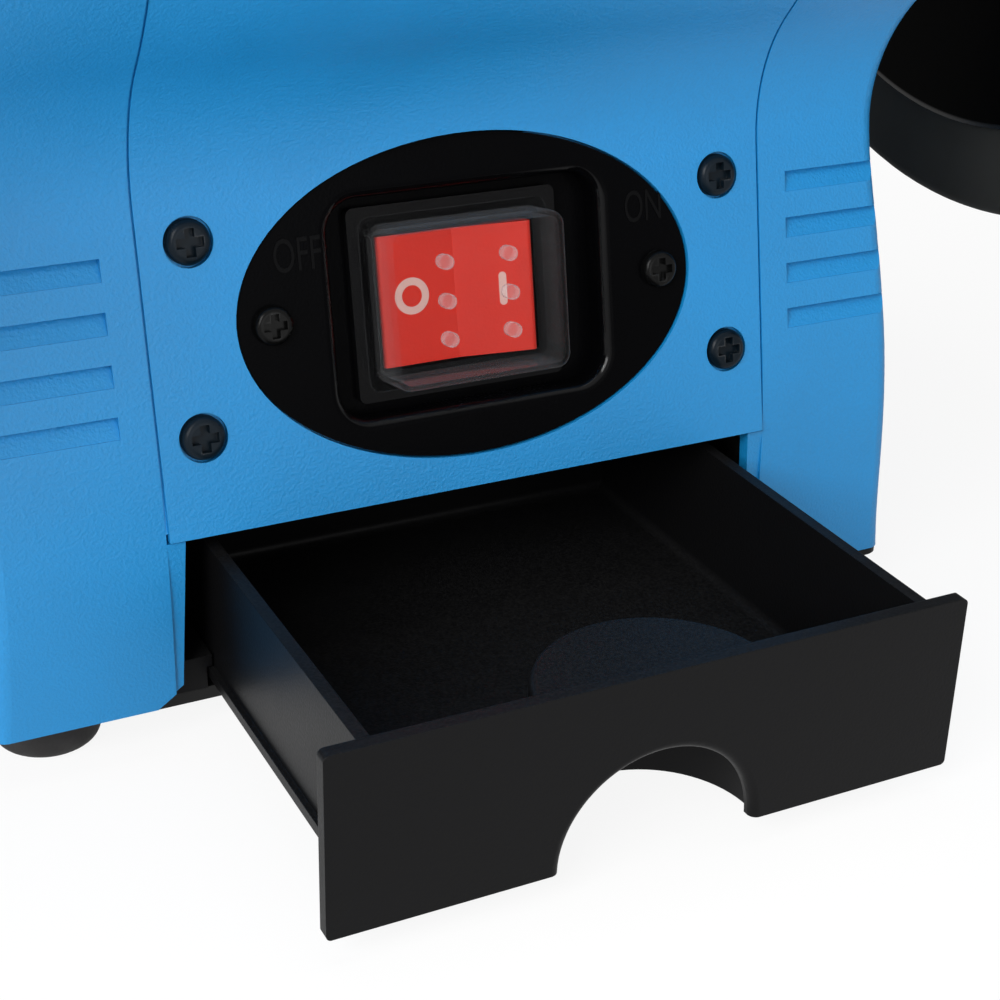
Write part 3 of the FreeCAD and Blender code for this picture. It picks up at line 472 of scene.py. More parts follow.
@dataclass(frozen=True)
class MouldedPlastic(Finish):
    """Moulded plastic with a spark-eroded grain, which may have lighter specks on its upward faces
    and polished lips.
    """

    colour: Colour
    roughness: float = 0.45
    specular: float = 0.35
    grain: float = 0.45 * MM
    grain_depth: float = 0.025 * MM
    grain_gloss: float = 0.1
    cloud: float = 28 * MM
    cloud_gloss: float = 0.16
    mottle: float = 0.05
    edge_radius: float = 0.0
    upward_specks: float = 0.0
    upward_speck_size: float = 0.5 * MM
    upward_speck_colour: Colour = (0.1, 0.1, 0.1)
    lip_shine: float = 0.0
    lip_roughness: float = 0.12
    lip_way: Direction = (0.0, -0.982, 0.191)

    def fill(self, shader: Shader) -> bpy.types.Material:
        """Build the plastic.

        Args:
            shader: The empty material.

        Returns:
            The finished material.
        """
        fine = shader.noise(self.grain, detail=1.0)
        cloudy = shader.noise(self.cloud, detail=3.0)
        dark = toned(self.colour, 1.0 - self.mottle)
        light = toned(self.colour, 1.0 + self.mottle)
        colour = shader.mix((cloudy * 0.6 + fine * 0.4).band(0.25, 0.75), dark, light)
        if self.upward_specks:
            # Lighter specks on upward faces make those faces lighter in colour.
            specks = shader.noise(self.upward_speck_size).band(0.2, 0.95) * shader.along(UPWARD).held()
            colour = shader.mix(specks * self.upward_specks, colour, self.upward_speck_colour)
        polish: Any = 0.0
        if self.lip_shine:
            turned = shader.along(self.lip_way)
            polish = turned.band(0.2, 0.5) * (1.0 - turned.band(0.86, 0.97)) * self.lip_shine
        below = shader.rounded(self.edge_radius) if self.edge_radius else None
        gloss = self.roughness + cloudy.swing(self.cloud_gloss) + fine.swing(self.grain_gloss)
        return shader.surface(
            Base_Color=colour,
            Coat_Weight=polish,
            Coat_Roughness=self.lip_roughness,
            Roughness=gloss.held(),
            Specular_IOR_Level=self.specular,
            Normal=shader.bump(fine, self.grain_depth, below),
        )


@dataclass(frozen=True)
class PaintedSteel(Finish):
    """Sprayed paint on pressed or cast metal, with a little wear on its edges."""

    colour: Colour
    roughness: float = 0.38
    specular: float = 0.4
    peel: float = 1.6 * MM
    peel_depth: float = 0.03 * MM
    cloud: float = 35 * MM
    cloud_tone: float = 1.35
    cloud_lift: float = 0.002
    cloud_gloss: float = 0.2
    wear: float = 0.35
    wear_width: float = 0.5 * MM
    wear_patch: float = 4 * MM
    under: Colour = (0.22, 0.22, 0.22)

    def fill(self, shader: Shader) -> bpy.types.Material:
        """Build the paint.

        Args:
            shader: The empty material.

        Returns:
            The finished material.
        """
        peel = shader.noise(self.peel)
        cloudy = shader.noise(self.cloud, detail=4.0)
        patchy = shader.noise(self.wear_patch, detail=4.0).band(0.5, 0.72)
        worn = shader.edges(self.wear_width) * patchy * self.wear
        light = toned(self.colour, self.cloud_tone, self.cloud_lift)
        paint = shader.mix(cloudy.band(0.3, 0.75), self.colour, light)
        return shader.surface(
            Base_Color=shader.mix(worn, paint, self.under),
            Roughness=(self.roughness + cloudy.swing(self.cloud_gloss)).held(),
            Metallic=worn,
            Specular_IOR_Level=self.specular,
            Normal=shader.bump(peel, self.peel_depth),
        )


@dataclass(frozen=True)
class ScrewBlack(PaintedSteel):
    """The thin black coat of a screw's head."""

    roughness: float = 0.3
    peel: float = 0.8 * MM
    peel_depth: float = 0.01 * MM
    wear: float = 0.25


@dataclass(frozen=True)
class GuardPaint(Finish):
    """Black paint of a wheel guard, smooth on its raised disc; the ring round it is painted lighter
    grey as painted light on the ring, with a dusty cloud.
    """

    disc: Colour
    ring: Colour
    disc_roughness: float = 0.3
    ring_roughening: float = 0.22
    specular: float = 0.01
    step: float = 84.0 * MM
    step_blur: float = 0.2 * MM
    brink_start: float = 1.2 * MM
    brink_full: float = 0.5 * MM
    brink_shine: float = 0.6
    brink_roughness: float = 0.2
    peel: float = 1.6 * MM
    peel_depth: float = 0.02 * MM
    cloud: float = 30 * MM
    cloud_tone: float = 1.4
    cloud_gloss: float = 0.15

    def fill(self, shader: Shader) -> bpy.types.Material:
        """Build the paint.

        Args:
            shader: The empty material.

        Returns:
            The finished material.
        """
        peel = shader.noise(self.peel)
        cloudy = shader.noise(self.cloud, detail=4.0)
        radius = shader.from_shaft()
        outside = radius.band(self.step - self.step_blur, self.step + self.step_blur)
        rise = radius.band(self.step - self.brink_start, self.step - self.brink_full)
        # The ring's lighter grey is painted light on the ring; the guard's own paint is the near
        # black of the disc.
        light = toned(self.ring, self.cloud_tone)
        ring = shader.mix(cloudy.band(0.3, 0.75), self.ring, light)
        gloss = self.disc_roughness + outside * self.ring_roughening
        return shader.surface(
            Base_Color=shader.mix(outside, self.disc, ring),
            Roughness=(gloss + cloudy.swing(self.cloud_gloss)).held(),
            Specular_IOR_Level=self.specular,
            Coat_Weight=rise * (1.0 - outside) * self.brink_shine,
            Coat_Roughness=self.brink_roughness,
            Normal=shader.bump(peel, self.peel_depth),
        )


@dataclass(frozen=True)
class PlatedSteel(Finish):
    """Plated or blackened steel with rolling marks."""

    colour: Colour
    roughness: float = 0.36
    streak: float = 0.5 * MM
    streak_stretch: tuple[float, float, float] = (0.15, 1.0, 1.0)
    streak_depth: float = 0.006 * MM
    streak_gloss: float = 0.1
    cloud: float = 9 * MM
    cloud_gloss: float = 0.25
    dull_tone: float = 0.72

    def fill(self, shader: Shader) -> bpy.types.Material:
        """Build the plating.

        Args:
            shader: The empty material.

        Returns:
            The finished material.
        """
        streaks = shader.noise(self.streak, detail=3.0, place=shader.place(self.streak_stretch))
        cloudy = shader.noise(self.cloud, detail=4.0)
        dull = toned(self.colour, self.dull_tone)
        gloss = self.roughness + cloudy.swing(self.cloud_gloss) + streaks.swing(self.streak_gloss)
        return shader.surface(
            Base_Color=shader.mix((streaks * 0.5 + cloudy * 0.5).band(0.3, 0.7), dull, self.colour),
            Roughness=gloss.held(),
            Metallic=1.0,
            Normal=shader.bump(streaks, self.streak_depth),
        )


@dataclass(frozen=True)
class TurnedSteel(Finish):
    """Bright steel turned about the shaft, with fine tool marks."""

    colour: Colour
    roughness: float = 0.26
    pitch: float = 0.35 * MM
    mark_depth: float = 0.008 * MM
    mark_gloss: float = 0.06
    mark_wander: float = 0.4
    cloud: float = 7 * MM
    cloud_gloss: float = 0.2
    dull_tone: float = 0.7

    def fill(self, shader: Shader) -> bpy.types.Material:
        """Build the turned steel.

        Args:
            shader: The empty material.

        Returns:
            The finished material.
        """
        rings = {"wave_type": "RINGS", "rings_direction": "X"}
        marks = shader.wave(self.pitch, self.mark_wander, shader.about_shaft(), **rings)
        cloudy = shader.noise(self.cloud, detail=4.0)
        dull = toned(self.colour, self.dull_tone)
        gloss = self.roughness + cloudy.swing(self.cloud_gloss) + marks * self.mark_gloss
        return shader.surface(
            Base_Color=shader.mix(cloudy.band(0.3, 0.7), dull, self.colour),
            Roughness=gloss.held(),
            Metallic=1.0,
            Normal=shader.bump(marks, self.mark_depth),
        )


@dataclass(frozen=True)
class Rubber(Finish):
    """Matt black rubber with a dusty bloom."""

    colour: Colour
    roughness: float = 0.72
    specular: float = 0.3
    grain: float = 0.5 * MM
    grain_depth: float = 0.04 * MM
    grain_gloss: float = 0.2
    bloom: float = 6 * MM
    bloom_tone: float = 1.5
    bloom_lift: float = 0.006

    def fill(self, shader: Shader) -> bpy.types.Material:
        """Build the rubber.

        Args:
            shader: The empty material.

        Returns:
            The finished material.
        """
        fine = shader.noise(self.grain, detail=3.0)
        bloom = shader.noise(self.bloom, detail=4.0).band(0.4, 0.75)
        dusty = toned(self.colour, self.bloom_tone, self.bloom_lift)
        return shader.surface(
            Base_Color=shader.mix(bloom, self.colour, dusty),
            Roughness=(self.roughness + fine.swing(self.grain_gloss)).held(),
            Specular_IOR_Level=self.specular,
            Normal=shader.bump(fine, self.grain_depth),
        )


@dataclass(frozen=True)
class ClearPlastic(Finish):
    """Clear moulded plastic, thin enough to see straight through."""

    tint: Colour = (0.96, 0.97, 0.97)
    body: Colour = (0.3, 0.3, 0.31)
    refraction: float = 1.5
    roughness: float = 0.08
    haze: float = 0.004
    rim: float = 0.8
    rim_sharpness: float = 5.0
    smear: float = 12 * MM
    smear_haze: float = 0.006
    smear_gloss: float = 0.1

    def fill(self, shader: Shader) -> bpy.types.Material:
        """Build the clear plastic.

        Args:
            shader: The empty material.

        Returns:
            The finished material.
        """
        facing = shader.out("ShaderNodeLayerWeight", None, {"Blend": 0.5}, "Facing")
        smear = shader.noise(self.smear, detail=4.0).band(0.45, 0.8)
        through = shader.out("ShaderNodeBsdfTransparent", None, {"Color": self.tint})
        gloss = {
            "Base Color": self.body,
            "Roughness": (self.roughness + smear * self.smear_gloss).held(),
            "IOR": self.refraction,
        }
        shine = shader.out("ShaderNodeBsdfPrincipled", None, gloss)
        # Where the surface turns side on, the rim mixes in the glossy surface with its body colour:
        # real reflection with a painted sheen on the edges.
        rim = (facing ** self.rim_sharpness) * self.rim
        amount = (self.haze + smear * self.smear_haze + rim).held()
        inputs = {0: amount, 1: through, 2: shine}
        return shader.close(shader.out("ShaderNodeMixShader", None, inputs))


@dataclass(frozen=True)
class Abrasive(Finish):
    """Grey vitrified grinding wheel with its coarse grains."""

    colour: Colour
    roughness: float = 0.75
    specular: float = 0.35
    grit: float = 0.7 * MM
    grit_depth: float = 0.35 * MM
    grit_gloss: float = 0.2
    dark_tone: float = 0.45
    light_tone: float = 1.7
    cloud: float = 20 * MM

    def fill(self, shader: Shader) -> bpy.types.Material:
        """Build the grit.

        Args:
            shader: The empty material.

        Returns:
            The finished material.
        """
        scale = {"Vector": shader.place(), "Scale": 1.0 / self.grit}
        cells = shader.node("ShaderNodeTexVoronoi", None, scale)
        grain = Field(shader, cells.outputs["Distance"])
        shade = Field(shader, cells.outputs["Color"])
        kind = shader.out("ShaderNodeSeparateColor", None, {0: shade})
        cloudy = shader.noise(self.cloud, detail=4.0)
        dark = toned(self.colour, self.dark_tone)
        light = toned(self.colour, self.light_tone)
        return shader.surface(
            Base_Color=shader.mix((kind * 0.75 + cloudy * 0.25).held(), dark, light),
            Roughness=(self.roughness + kind * self.grit_gloss).held(),
            Specular_IOR_Level=self.specular,
            Normal=shader.bump(1.0 - grain, self.grit_depth),
        )


@dataclass(frozen=True)
class Laminations(Finish):
    """Stacked steel sheets, edge on."""

    colour: Colour
    roughness: float = 0.42
    sheet: float = 0.5 * MM
    sheet_depth: float = 0.02 * MM
    gap_tone: float = 0.5
    rust: float = 5 * MM
    rust_colour: Colour = (0.16, 0.09, 0.06)
    rust_cover: float = 0.4
    rust_gloss: float = 0.3

    def fill(self, shader: Shader) -> bpy.types.Material:
        """Build the stack.

        Args:
            shader: The empty material.

        Returns:
            The finished material.
        """
        sheets = shader.wave(self.sheet, wave_type="BANDS", bands_direction="X")
        rust = shader.noise(self.rust, detail=4.0).band(0.55, 0.8)
        steel = shader.mix(sheets, toned(self.colour, self.gap_tone), self.colour)
        return shader.surface(
            Base_Color=shader.mix(rust * self.rust_cover, steel, self.rust_colour),
            Roughness=(self.roughness + rust * self.rust_gloss).held(),
            Metallic=1.0,
            Normal=shader.bump(sheets, self.sheet_depth),
        )


@dataclass(frozen=True)
class EnamelledWire(Finish):
    """Varnished copper turns lying round the shaft, with painted shade in the crevices between the
    turns.
    """

    colour: Colour
    roughness: float = 0.3
    metallic: float = 0.8
    varnish: float = 0.5
    wire: float = 0.8 * MM
    wire_depth: float = 0.2 * MM
    wire_gloss: float = 0.12
    wire_wander: float = 2.0
    gap_tone: float = 0.35

    def fill(self, shader: Shader) -> bpy.types.Material:
        """Build the turns.

        Args:
            shader: The empty material.

        Returns:
            The finished material.
        """
        bands = {"wave_type": "BANDS", "bands_direction": "X"}
        turns = shader.wave(self.wire, self.wire_wander, **bands)
        return shader.surface(
            # The gaps between turns are darkened by gap_tone: painted shade in the crevices.
            Base_Color=shader.mix(turns, toned(self.colour, self.gap_tone), self.colour),
            Roughness=(self.roughness + turns * self.wire_gloss).held(),
            Metallic=self.metallic,
            Coat_Weight=self.varnish,
            Normal=shader.bump(turns, self.wire_depth),
        )


FINISHES: dict[str, Finish] = {
    "blue_plastic": MouldedPlastic(
        from_bytes(8, 131, 194),
        roughness=0.5,
        specular=0.6,
        grain=0.5 * MM,
        grain_depth=0.08 * MM,
        mottle=0.07,
    ),
    "black_plastic": MouldedPlastic(
        from_bytes(13, 13, 14), roughness=0.42, specular=0.1, edge_radius=0.25 * MM, upward_specks=0.1
    ),
    "black_gloss": MouldedPlastic(
        from_bytes(5, 5, 6), roughness=0.25, specular=0.016, mottle=0.1, lip_shine=0.3
    ),
    "switch_black": MouldedPlastic(from_bytes(11, 11, 12), roughness=0.35, specular=0.06),
    "raised_black": MouldedPlastic(from_bytes(8, 8, 9), roughness=0.35, specular=0.04),
    "red_plastic": MouldedPlastic(
        from_bytes(203, 35, 18), roughness=0.32, specular=0.25, mottle=0.04
    ),
    "white_print": MouldedPlastic(
        from_bytes(214, 168, 160), roughness=0.5, specular=0.2, mottle=0.03
    ),
    "clear_plastic": ClearPlastic(),
    # The nubs' light pinkish body colour is a painted highlight on their sides, tinted by the red
    # rocker beneath; the haze is the frosting.
    "frosted_plastic": ClearPlastic(
        body=(0.9, 0.84, 0.83), haze=0.06, rim=0.6, rim_sharpness=2.0
    ),
    "rubber": Rubber(from_bytes(41, 40, 40)),
    "black_paint": PaintedSteel(from_bytes(17, 17, 17), specular=0.2),
    # The ring's grey is painted light on the ring; the disc's near black is the guard's paint.
    "guard_paint": GuardPaint(disc=from_bytes(3, 3, 3), ring=from_bytes(50, 50, 48)),
    "bell_paint": PaintedSteel(
        from_bytes(24, 24, 25), roughness=0.5, specular=0.35, peel=0.8 * MM, peel_depth=0.08 * MM
    ),
    "zinc_steel": PlatedSteel((0.56, 0.57, 0.58)),
    "bare_steel": TurnedSteel((0.6, 0.59, 0.57)),
    "bezel_screw": ScrewBlack(from_bytes(7, 7, 7), roughness=0.26, specular=0.1, wear=0.2),
    # The heads' blue tint is painted reflection of the blue panel round them.
    "panel_screw": ScrewBlack(from_bytes(7, 18, 26), specular=0.11),
    "black_screw": ScrewBlack(from_bytes(12, 12, 13), specular=0.2),
    "grey_abrasive": Abrasive(from_bytes(128, 127, 130)),
    "copper": EnamelledWire((0.62, 0.28, 0.12)),
    "core_steel": Laminations((0.34, 0.34, 0.35)),
    "cap_can": PlatedSteel((0.68, 0.68, 0.69), roughness=0.3),
}


class Paintbox:
    """The finishes of the machine, each made once."""

    def __init__(self) -> None:
        """Start with no finish made."""
        self._made: dict[str, bpy.types.Material] = {}

    def get(self, name: str) -> bpy.types.Material:
        """Give a finish, and make it on first use.

        Args:
            name: The finish's name in FINISHES.

        Returns:
            The material.
        """
        if name not in self._made:
            self._made[name] = FINISHES[name].fill(Shader(name + "_finish"))
        return self._made[name]


@dataclass
class Assembly(ABC):
    """A group of solids that are finished together."""

    frame: dict[str, Any]
    paints: Paintbox
    slots: dict[str, str] = field(init=False)

    def __post_init__(self) -> None:
        """Read which slot each solid has in the record."""
        parts = self.frame["record"]["subparts"]
        self.slots = {part["node"]: part["material_slot"] for part in parts}

    @abstractmethod
    def build(self) -> None:
        """Dress the solids and add the group's own pieces."""

    def dress(self, nodes: Iterable[str], special: str = "") -> None:
        """Lay a finish on each solid.

        Args:
            nodes: The solids' names.
            special: The finish, where it isn't the one of the solid's slot.
        """
        for name in nodes:
            finish = self.paints.get(special or self.slots[name])
            for place in self.frame["nodes"][name].material_slots:
                place.material = finish
            LOG.info("dressed %s", name)

    def add(self, name: str, mesh: bpy.types.Mesh, body: str, slot: str, finish: str) -> None:
        """Add a new piece that moves with a body.

        Args:
            name: The piece's name.
            mesh: Its mesh, in place.
            body: The body that it moves with.
            slot: The record's slot that it belongs to; not used.
            finish: The finish that it gets.
        """
        mesh.materials.clear()
        mesh.materials.append(self.paints.get(finish))
        made = bpy.data.objects.new(name, mesh)
        bpy.context.scene.collection.objects.link(made)
        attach(made, body)
        LOG.info("added %s to %s", name, body)


@dataclass(frozen=True)
class PanelPlane:
    """The leaning switch panel as a drawing plane."""

    front: float = -56 * MM
    hinge_height: float = 37.2 * MM
    lean: float = math.radians(11.0)
    height: float = 67 * MM

    @property
    def matrix(self) -> Matrix:
        """The panel's place in the machine.

        Returns:
            The step from across, up and out of the panel to the machine's frame.
        """
        slope = math.tan(self.lean)
        origin = Vector((0.0, self.front + (self.height - self.hinge_height) * slope, self.height))
        up = Vector((0.0, math.sin(self.lean), math.cos(self.lean)))
        out = Vector((0.0, -math.cos(self.lean), math.sin(self.lean)))
        across = Vector((1.0, 0.0, 0.0))
        return Matrix.Translation(origin) @ Matrix((across, up, out)).transposed().to_4x4()


def solid_tree(solid: bpy.types.Object) -> BVHTree:
    """Prepare a solid for casting rays at it.

    Args:
        solid: The solid.

    Returns:
        Its faces as a search tree.
    """
    corners = [tuple(vertex.co) for vertex in solid.data.vertices]
    faces = [tuple(face.vertices) for face in solid.data.polygons]
    return BVHTree.FromPolygons(corners, faces)


class Surface:
    """A solid's surface, looked at straight through the switch panel."""

    standoff: float = 50 * MM

    def __init__(self, solid: bpy.types.Object, plane: PanelPlane) -> None:
        """Prepare the solid for casting.

        Args:
            solid: The solid.
            plane: The panel that the rays leave.
        """
        self.tree = solid_tree(solid)
        self.place = plane.matrix
        self.out = (self.place.to_3x3() @ Vector(UPWARD)).normalized()

    def at(self, across: float, up: float) -> tuple[Vector, Vector]:
        """Find the surface behind a point of the panel.

        Args:
            across: Distance to the right of the panel's middle.
            up: Distance up the panel.

        Returns:
            The point met and the surface's normal there.
        """
        start = self.place @ Vector((across, up, self.standoff))
        point, normal, _, _ = self.tree.ray_cast(start, -self.out)
        if point is None:
            raise ValueError(f"nothing lies behind {across:.4f}, {up:.4f} of the panel")
        return point, normal

    def drape(self, shape: bmesh.types.BMesh) -> None:
        """Set a flat shape, drawn on the panel, onto the surface.

        Args:
            shape: Corners as across, up and height above the surface; changed in place.
        """
        for corner in shape.verts:
            across, up, above = corner.co
            point, normal = self.at(across, up)
            corner.co = point + normal * above


def mesh_from(shape: bmesh.types.BMesh, name: str) -> bpy.types.Mesh:
    """Turn a working shape into a mesh with outward faces.

    Args:
        shape: The shape, which is freed.
        name: The mesh's name.

    Returns:
        The mesh.
    """
    bmesh.ops.remove_doubles(shape, verts=shape.verts, dist=MERGE_DISTANCE)
    bmesh.ops.recalc_face_normals(shape, faces=shape.faces)
    mesh = bpy.data.meshes.new(name)
    shape.to_mesh(mesh)
    shape.free()
    return mesh


def outward(mesh: bpy.types.Mesh) -> bpy.types.Mesh:
    """Merge a mesh's doubles and turn its faces outward.

    Args:
        mesh: The mesh, which is replaced.

    Returns:
        The mended mesh.
    """
    shape = bmesh.new()
    shape.from_mesh(mesh)
    return mesh_from(shape, mesh.name)


def swept(rings: Sequence[Sequence[Vector]], loop: bool) -> bmesh.types.BMesh:
    """Skin a row of closed outlines.

    Args:
        rings: Outlines with equal numbers of corners.
        loop: Whether the last outline joins the first; if not, both ends are closed.

    Returns:
        The skin as a working shape.
    """
    shape = bmesh.new()
    rows = [[shape.verts.new(corner) for corner in ring] for ring in rings]
    pairs = list(zip(rows, rows[1:]))
    if loop:
        pairs.append((rows[-1], rows[0]))
    count = len(rows[0])
    for first, second in pairs:
        for i in range(count):
            j = (i + 1) % count
            shape.faces.new((first[i], first[j], second[j], second[i]))
    if not loop:
        shape.faces.new(rows[0])
        shape.faces.new(rows[-1])
    return shape


class ShapeTree:
    """A Geometry Nodes tree with named inputs, run on a mesh of points and edges."""

    def __init__(self, name: str, kinds: dict[str, str]) -> None:
        """Start the tree.

        Args:
            name: The tree's name.
            kinds: The type of each input that follows the mesh, by the input's name.
        """
        self.tree = bpy.data.node_groups.new(name, "GeometryNodeTree")
        self.graph = Graph(self.tree)
        face = self.tree.interface
        face.new_socket("Geometry", in_out="INPUT", socket_type="NodeSocketGeometry")
        self.inputs: dict[str, str] = {}
        for label, kind in kinds.items():
            made = face.new_socket(label, in_out="INPUT", socket_type="NodeSocket" + kind)
            self.inputs[label] = made.identifier
        face.new_socket("Geometry", in_out="OUTPUT", socket_type="NodeSocketGeometry")
        start = self.graph.node("NodeGroupInput")
        self.given = [Field(self.graph, start.outputs[i]) for i in range(len(kinds) + 1)]

    def end(self, geometry: Field, finish: bpy.types.Material) -> None:
        """Close the tree.

        Args:
            geometry: What the tree makes.
            finish: Its material.
        """
        real = self.graph.out("GeometryNodeRealizeInstances", None, {"Geometry": geometry})
        painted = {"Geometry": real, "Material": finish}
        result = self.graph.out("GeometryNodeSetMaterial", None, painted)
        self.graph.node("NodeGroupOutput", None, {0: result})

    def run(
        self,
        points: Sequence[Vector],
        edges: Sequence[tuple[int, int]],
        **sizes: Any,
    ) -> bpy.types.Mesh:
        """Run the tree.

        Args:
            points: The mesh's points.
            edges: The mesh's edges, as pairs of points.
            **sizes: A value for each named input.

        Returns:
            What the tree makes, as one plain mesh.
        """
        mesh = bpy.data.meshes.new(self.tree.name + "_points")
        mesh.from_pydata([tuple(point) for point in points], edges, [])
        holder = bpy.data.objects.new(mesh.name, mesh)
        bpy.context.scene.collection.objects.link(holder)
        step = holder.modifiers.new(self.tree.name, "NODES")
        step.node_group = self.tree
        for label, size in sizes.items():
            step[self.inputs[label]] = size
        graph = bpy.context.evaluated_depsgraph_get()
        made = bpy.data.meshes.new_from_object(holder.evaluated_get(graph), depsgraph=graph)
        holder.modifiers.clear()
        bpy.data.objects.remove(holder)
        return made


class GripNubs(ShapeTree):
    """Stands a rounded peg on every point."""

    sides: int = 16
    smoothing: int = 2
    crease: float = 0.72

    def __init__(self, finish: bpy.types.Material) -> None:
        """Build the tree.

        Args:
            finish: The pegs' material.
        """
        super().__init__("grip_nubs", {"Radius": "Float", "Height": "Float", "Facing": "Vector"})
        points, radius, height, facing = self.given
        sizes = {"Vertices": self.sides, "Radius": radius, "Depth": height * 2.0}
        peg = self.graph.out("GeometryNodeMeshCylinder", {"fill_type": "NGON"}, sizes)
        softened = {"Mesh": peg, "Level": self.smoothing, "Edge Crease": self.crease}
        rounded = self.graph.out("GeometryNodeSubdivisionSurface", None, softened)
        smooth = self.graph.out("GeometryNodeSetShadeSmooth", None, {"Geometry": rounded})
        aim = {"Vector": facing}
        turn = self.graph.out("FunctionNodeAlignRotationToVector", {"axis": "Z"}, aim)
        stood = {"Points": points, "Instance": smooth, "Rotation": turn}
        self.end(self.graph.out("GeometryNodeInstanceOnPoints", None, stood), finish)


class SeamTongues(ShapeTree):
    """Runs a flat bar along every line of edges."""

    def __init__(self, finish: bpy.types.Material) -> None:
        """Build the tree.

        Args:
            finish: The bars' material.
        """
        super().__init__("seam_tongues", {"Width": "Float", "Depth": "Float"})
        lines, width, depth = self.given
        path = self.graph.out("GeometryNodeMeshToCurve", None, {"Mesh": lines})
        sizes = {"Width": width, "Height": depth}
        section = self.graph.out("GeometryNodeCurvePrimitiveQuadrilateral", None, sizes)
        laid = {"Curve": path, "Profile Curve": section, "Fill Caps": True}
        self.end(self.graph.out("GeometryNodeCurveToMesh", None, laid), finish)


@dataclass
class Housing(Assembly):
    """The blue pedestal: two covers, two cheeks, their screws and the tongues in the seams."""

    covers: tuple[str, str] = ("front_cover", "rear_cover")
    seam: float = 52.6 * MM
    tongue_width: float = 1.2 * MM
    tongue_sink: float = 0.55 * MM
    tongue_depth: float = 0.9 * MM
    probe_inset: float = 0.7 * MM
    probe_height: float = 105 * MM
    probe_reach: float = 200 * MM
    probe_degrees: tuple[int, int, int] = (-58, 232, 2)

    def build(self) -> None:
        """Dress the covers and cheeks, and close their seams."""
        self.dress((*self.covers, "left_cheek", "right_cheek"))
        self.dress(("front_screws", "rear_screws"), "panel_screw")
        points: list[Vector] = []
        edges: list[tuple[int, int]] = []
        trees = [solid_tree(self.frame["nodes"][name]) for name in self.covers]
        turns = [math.radians(degrees) for degrees in range(*self.probe_degrees)]
        for side in Side:
            line = [self.station(trees, side, turn) for turn in turns]
            met = [point for point in line if point is not None]
            edges += [(len(points) + i, len(points) + i + 1) for i in range(len(met) - 1)]
            points += met
        tongues = SeamTongues(self.paints.get("blue_plastic"))
        made = tongues.run(points, edges, Width=self.tongue_width, Depth=self.tongue_depth)
        self.add("seam_tongues", outward(made), "base", "blue_plastic", "blue_plastic")

    def station(self, trees: Sequence[BVHTree], side: Side, turn: float) -> Vector | None:
        """Find the middle of a tongue at one place along its seam.

        Args:
            trees: The covers.
            side: The end of the machine.
            turn: The angle of the place, seen along the shaft.

        Returns:
            The tongue's middle, or None where the covers leave a gap.
        """
        away = Vector((0.0, math.cos(turn), math.sin(turn)))
        middle = Vector((side.value * (self.seam - self.probe_inset), 0.0, self.probe_height))
        start = middle + away * self.probe_reach
        hits = [tree.ray_cast(start, -away) for tree in trees]
        met = [hit for hit in hits if hit[0] is not None]
        if not met:
            return None
        point, normal, _, _ = min(met, key=lambda hit: hit[3])
        sunk = point - normal * (self.tongue_sink + self.tongue_depth / 2)
        return Vector((side.value * self.seam, sunk.y, sunk.z))


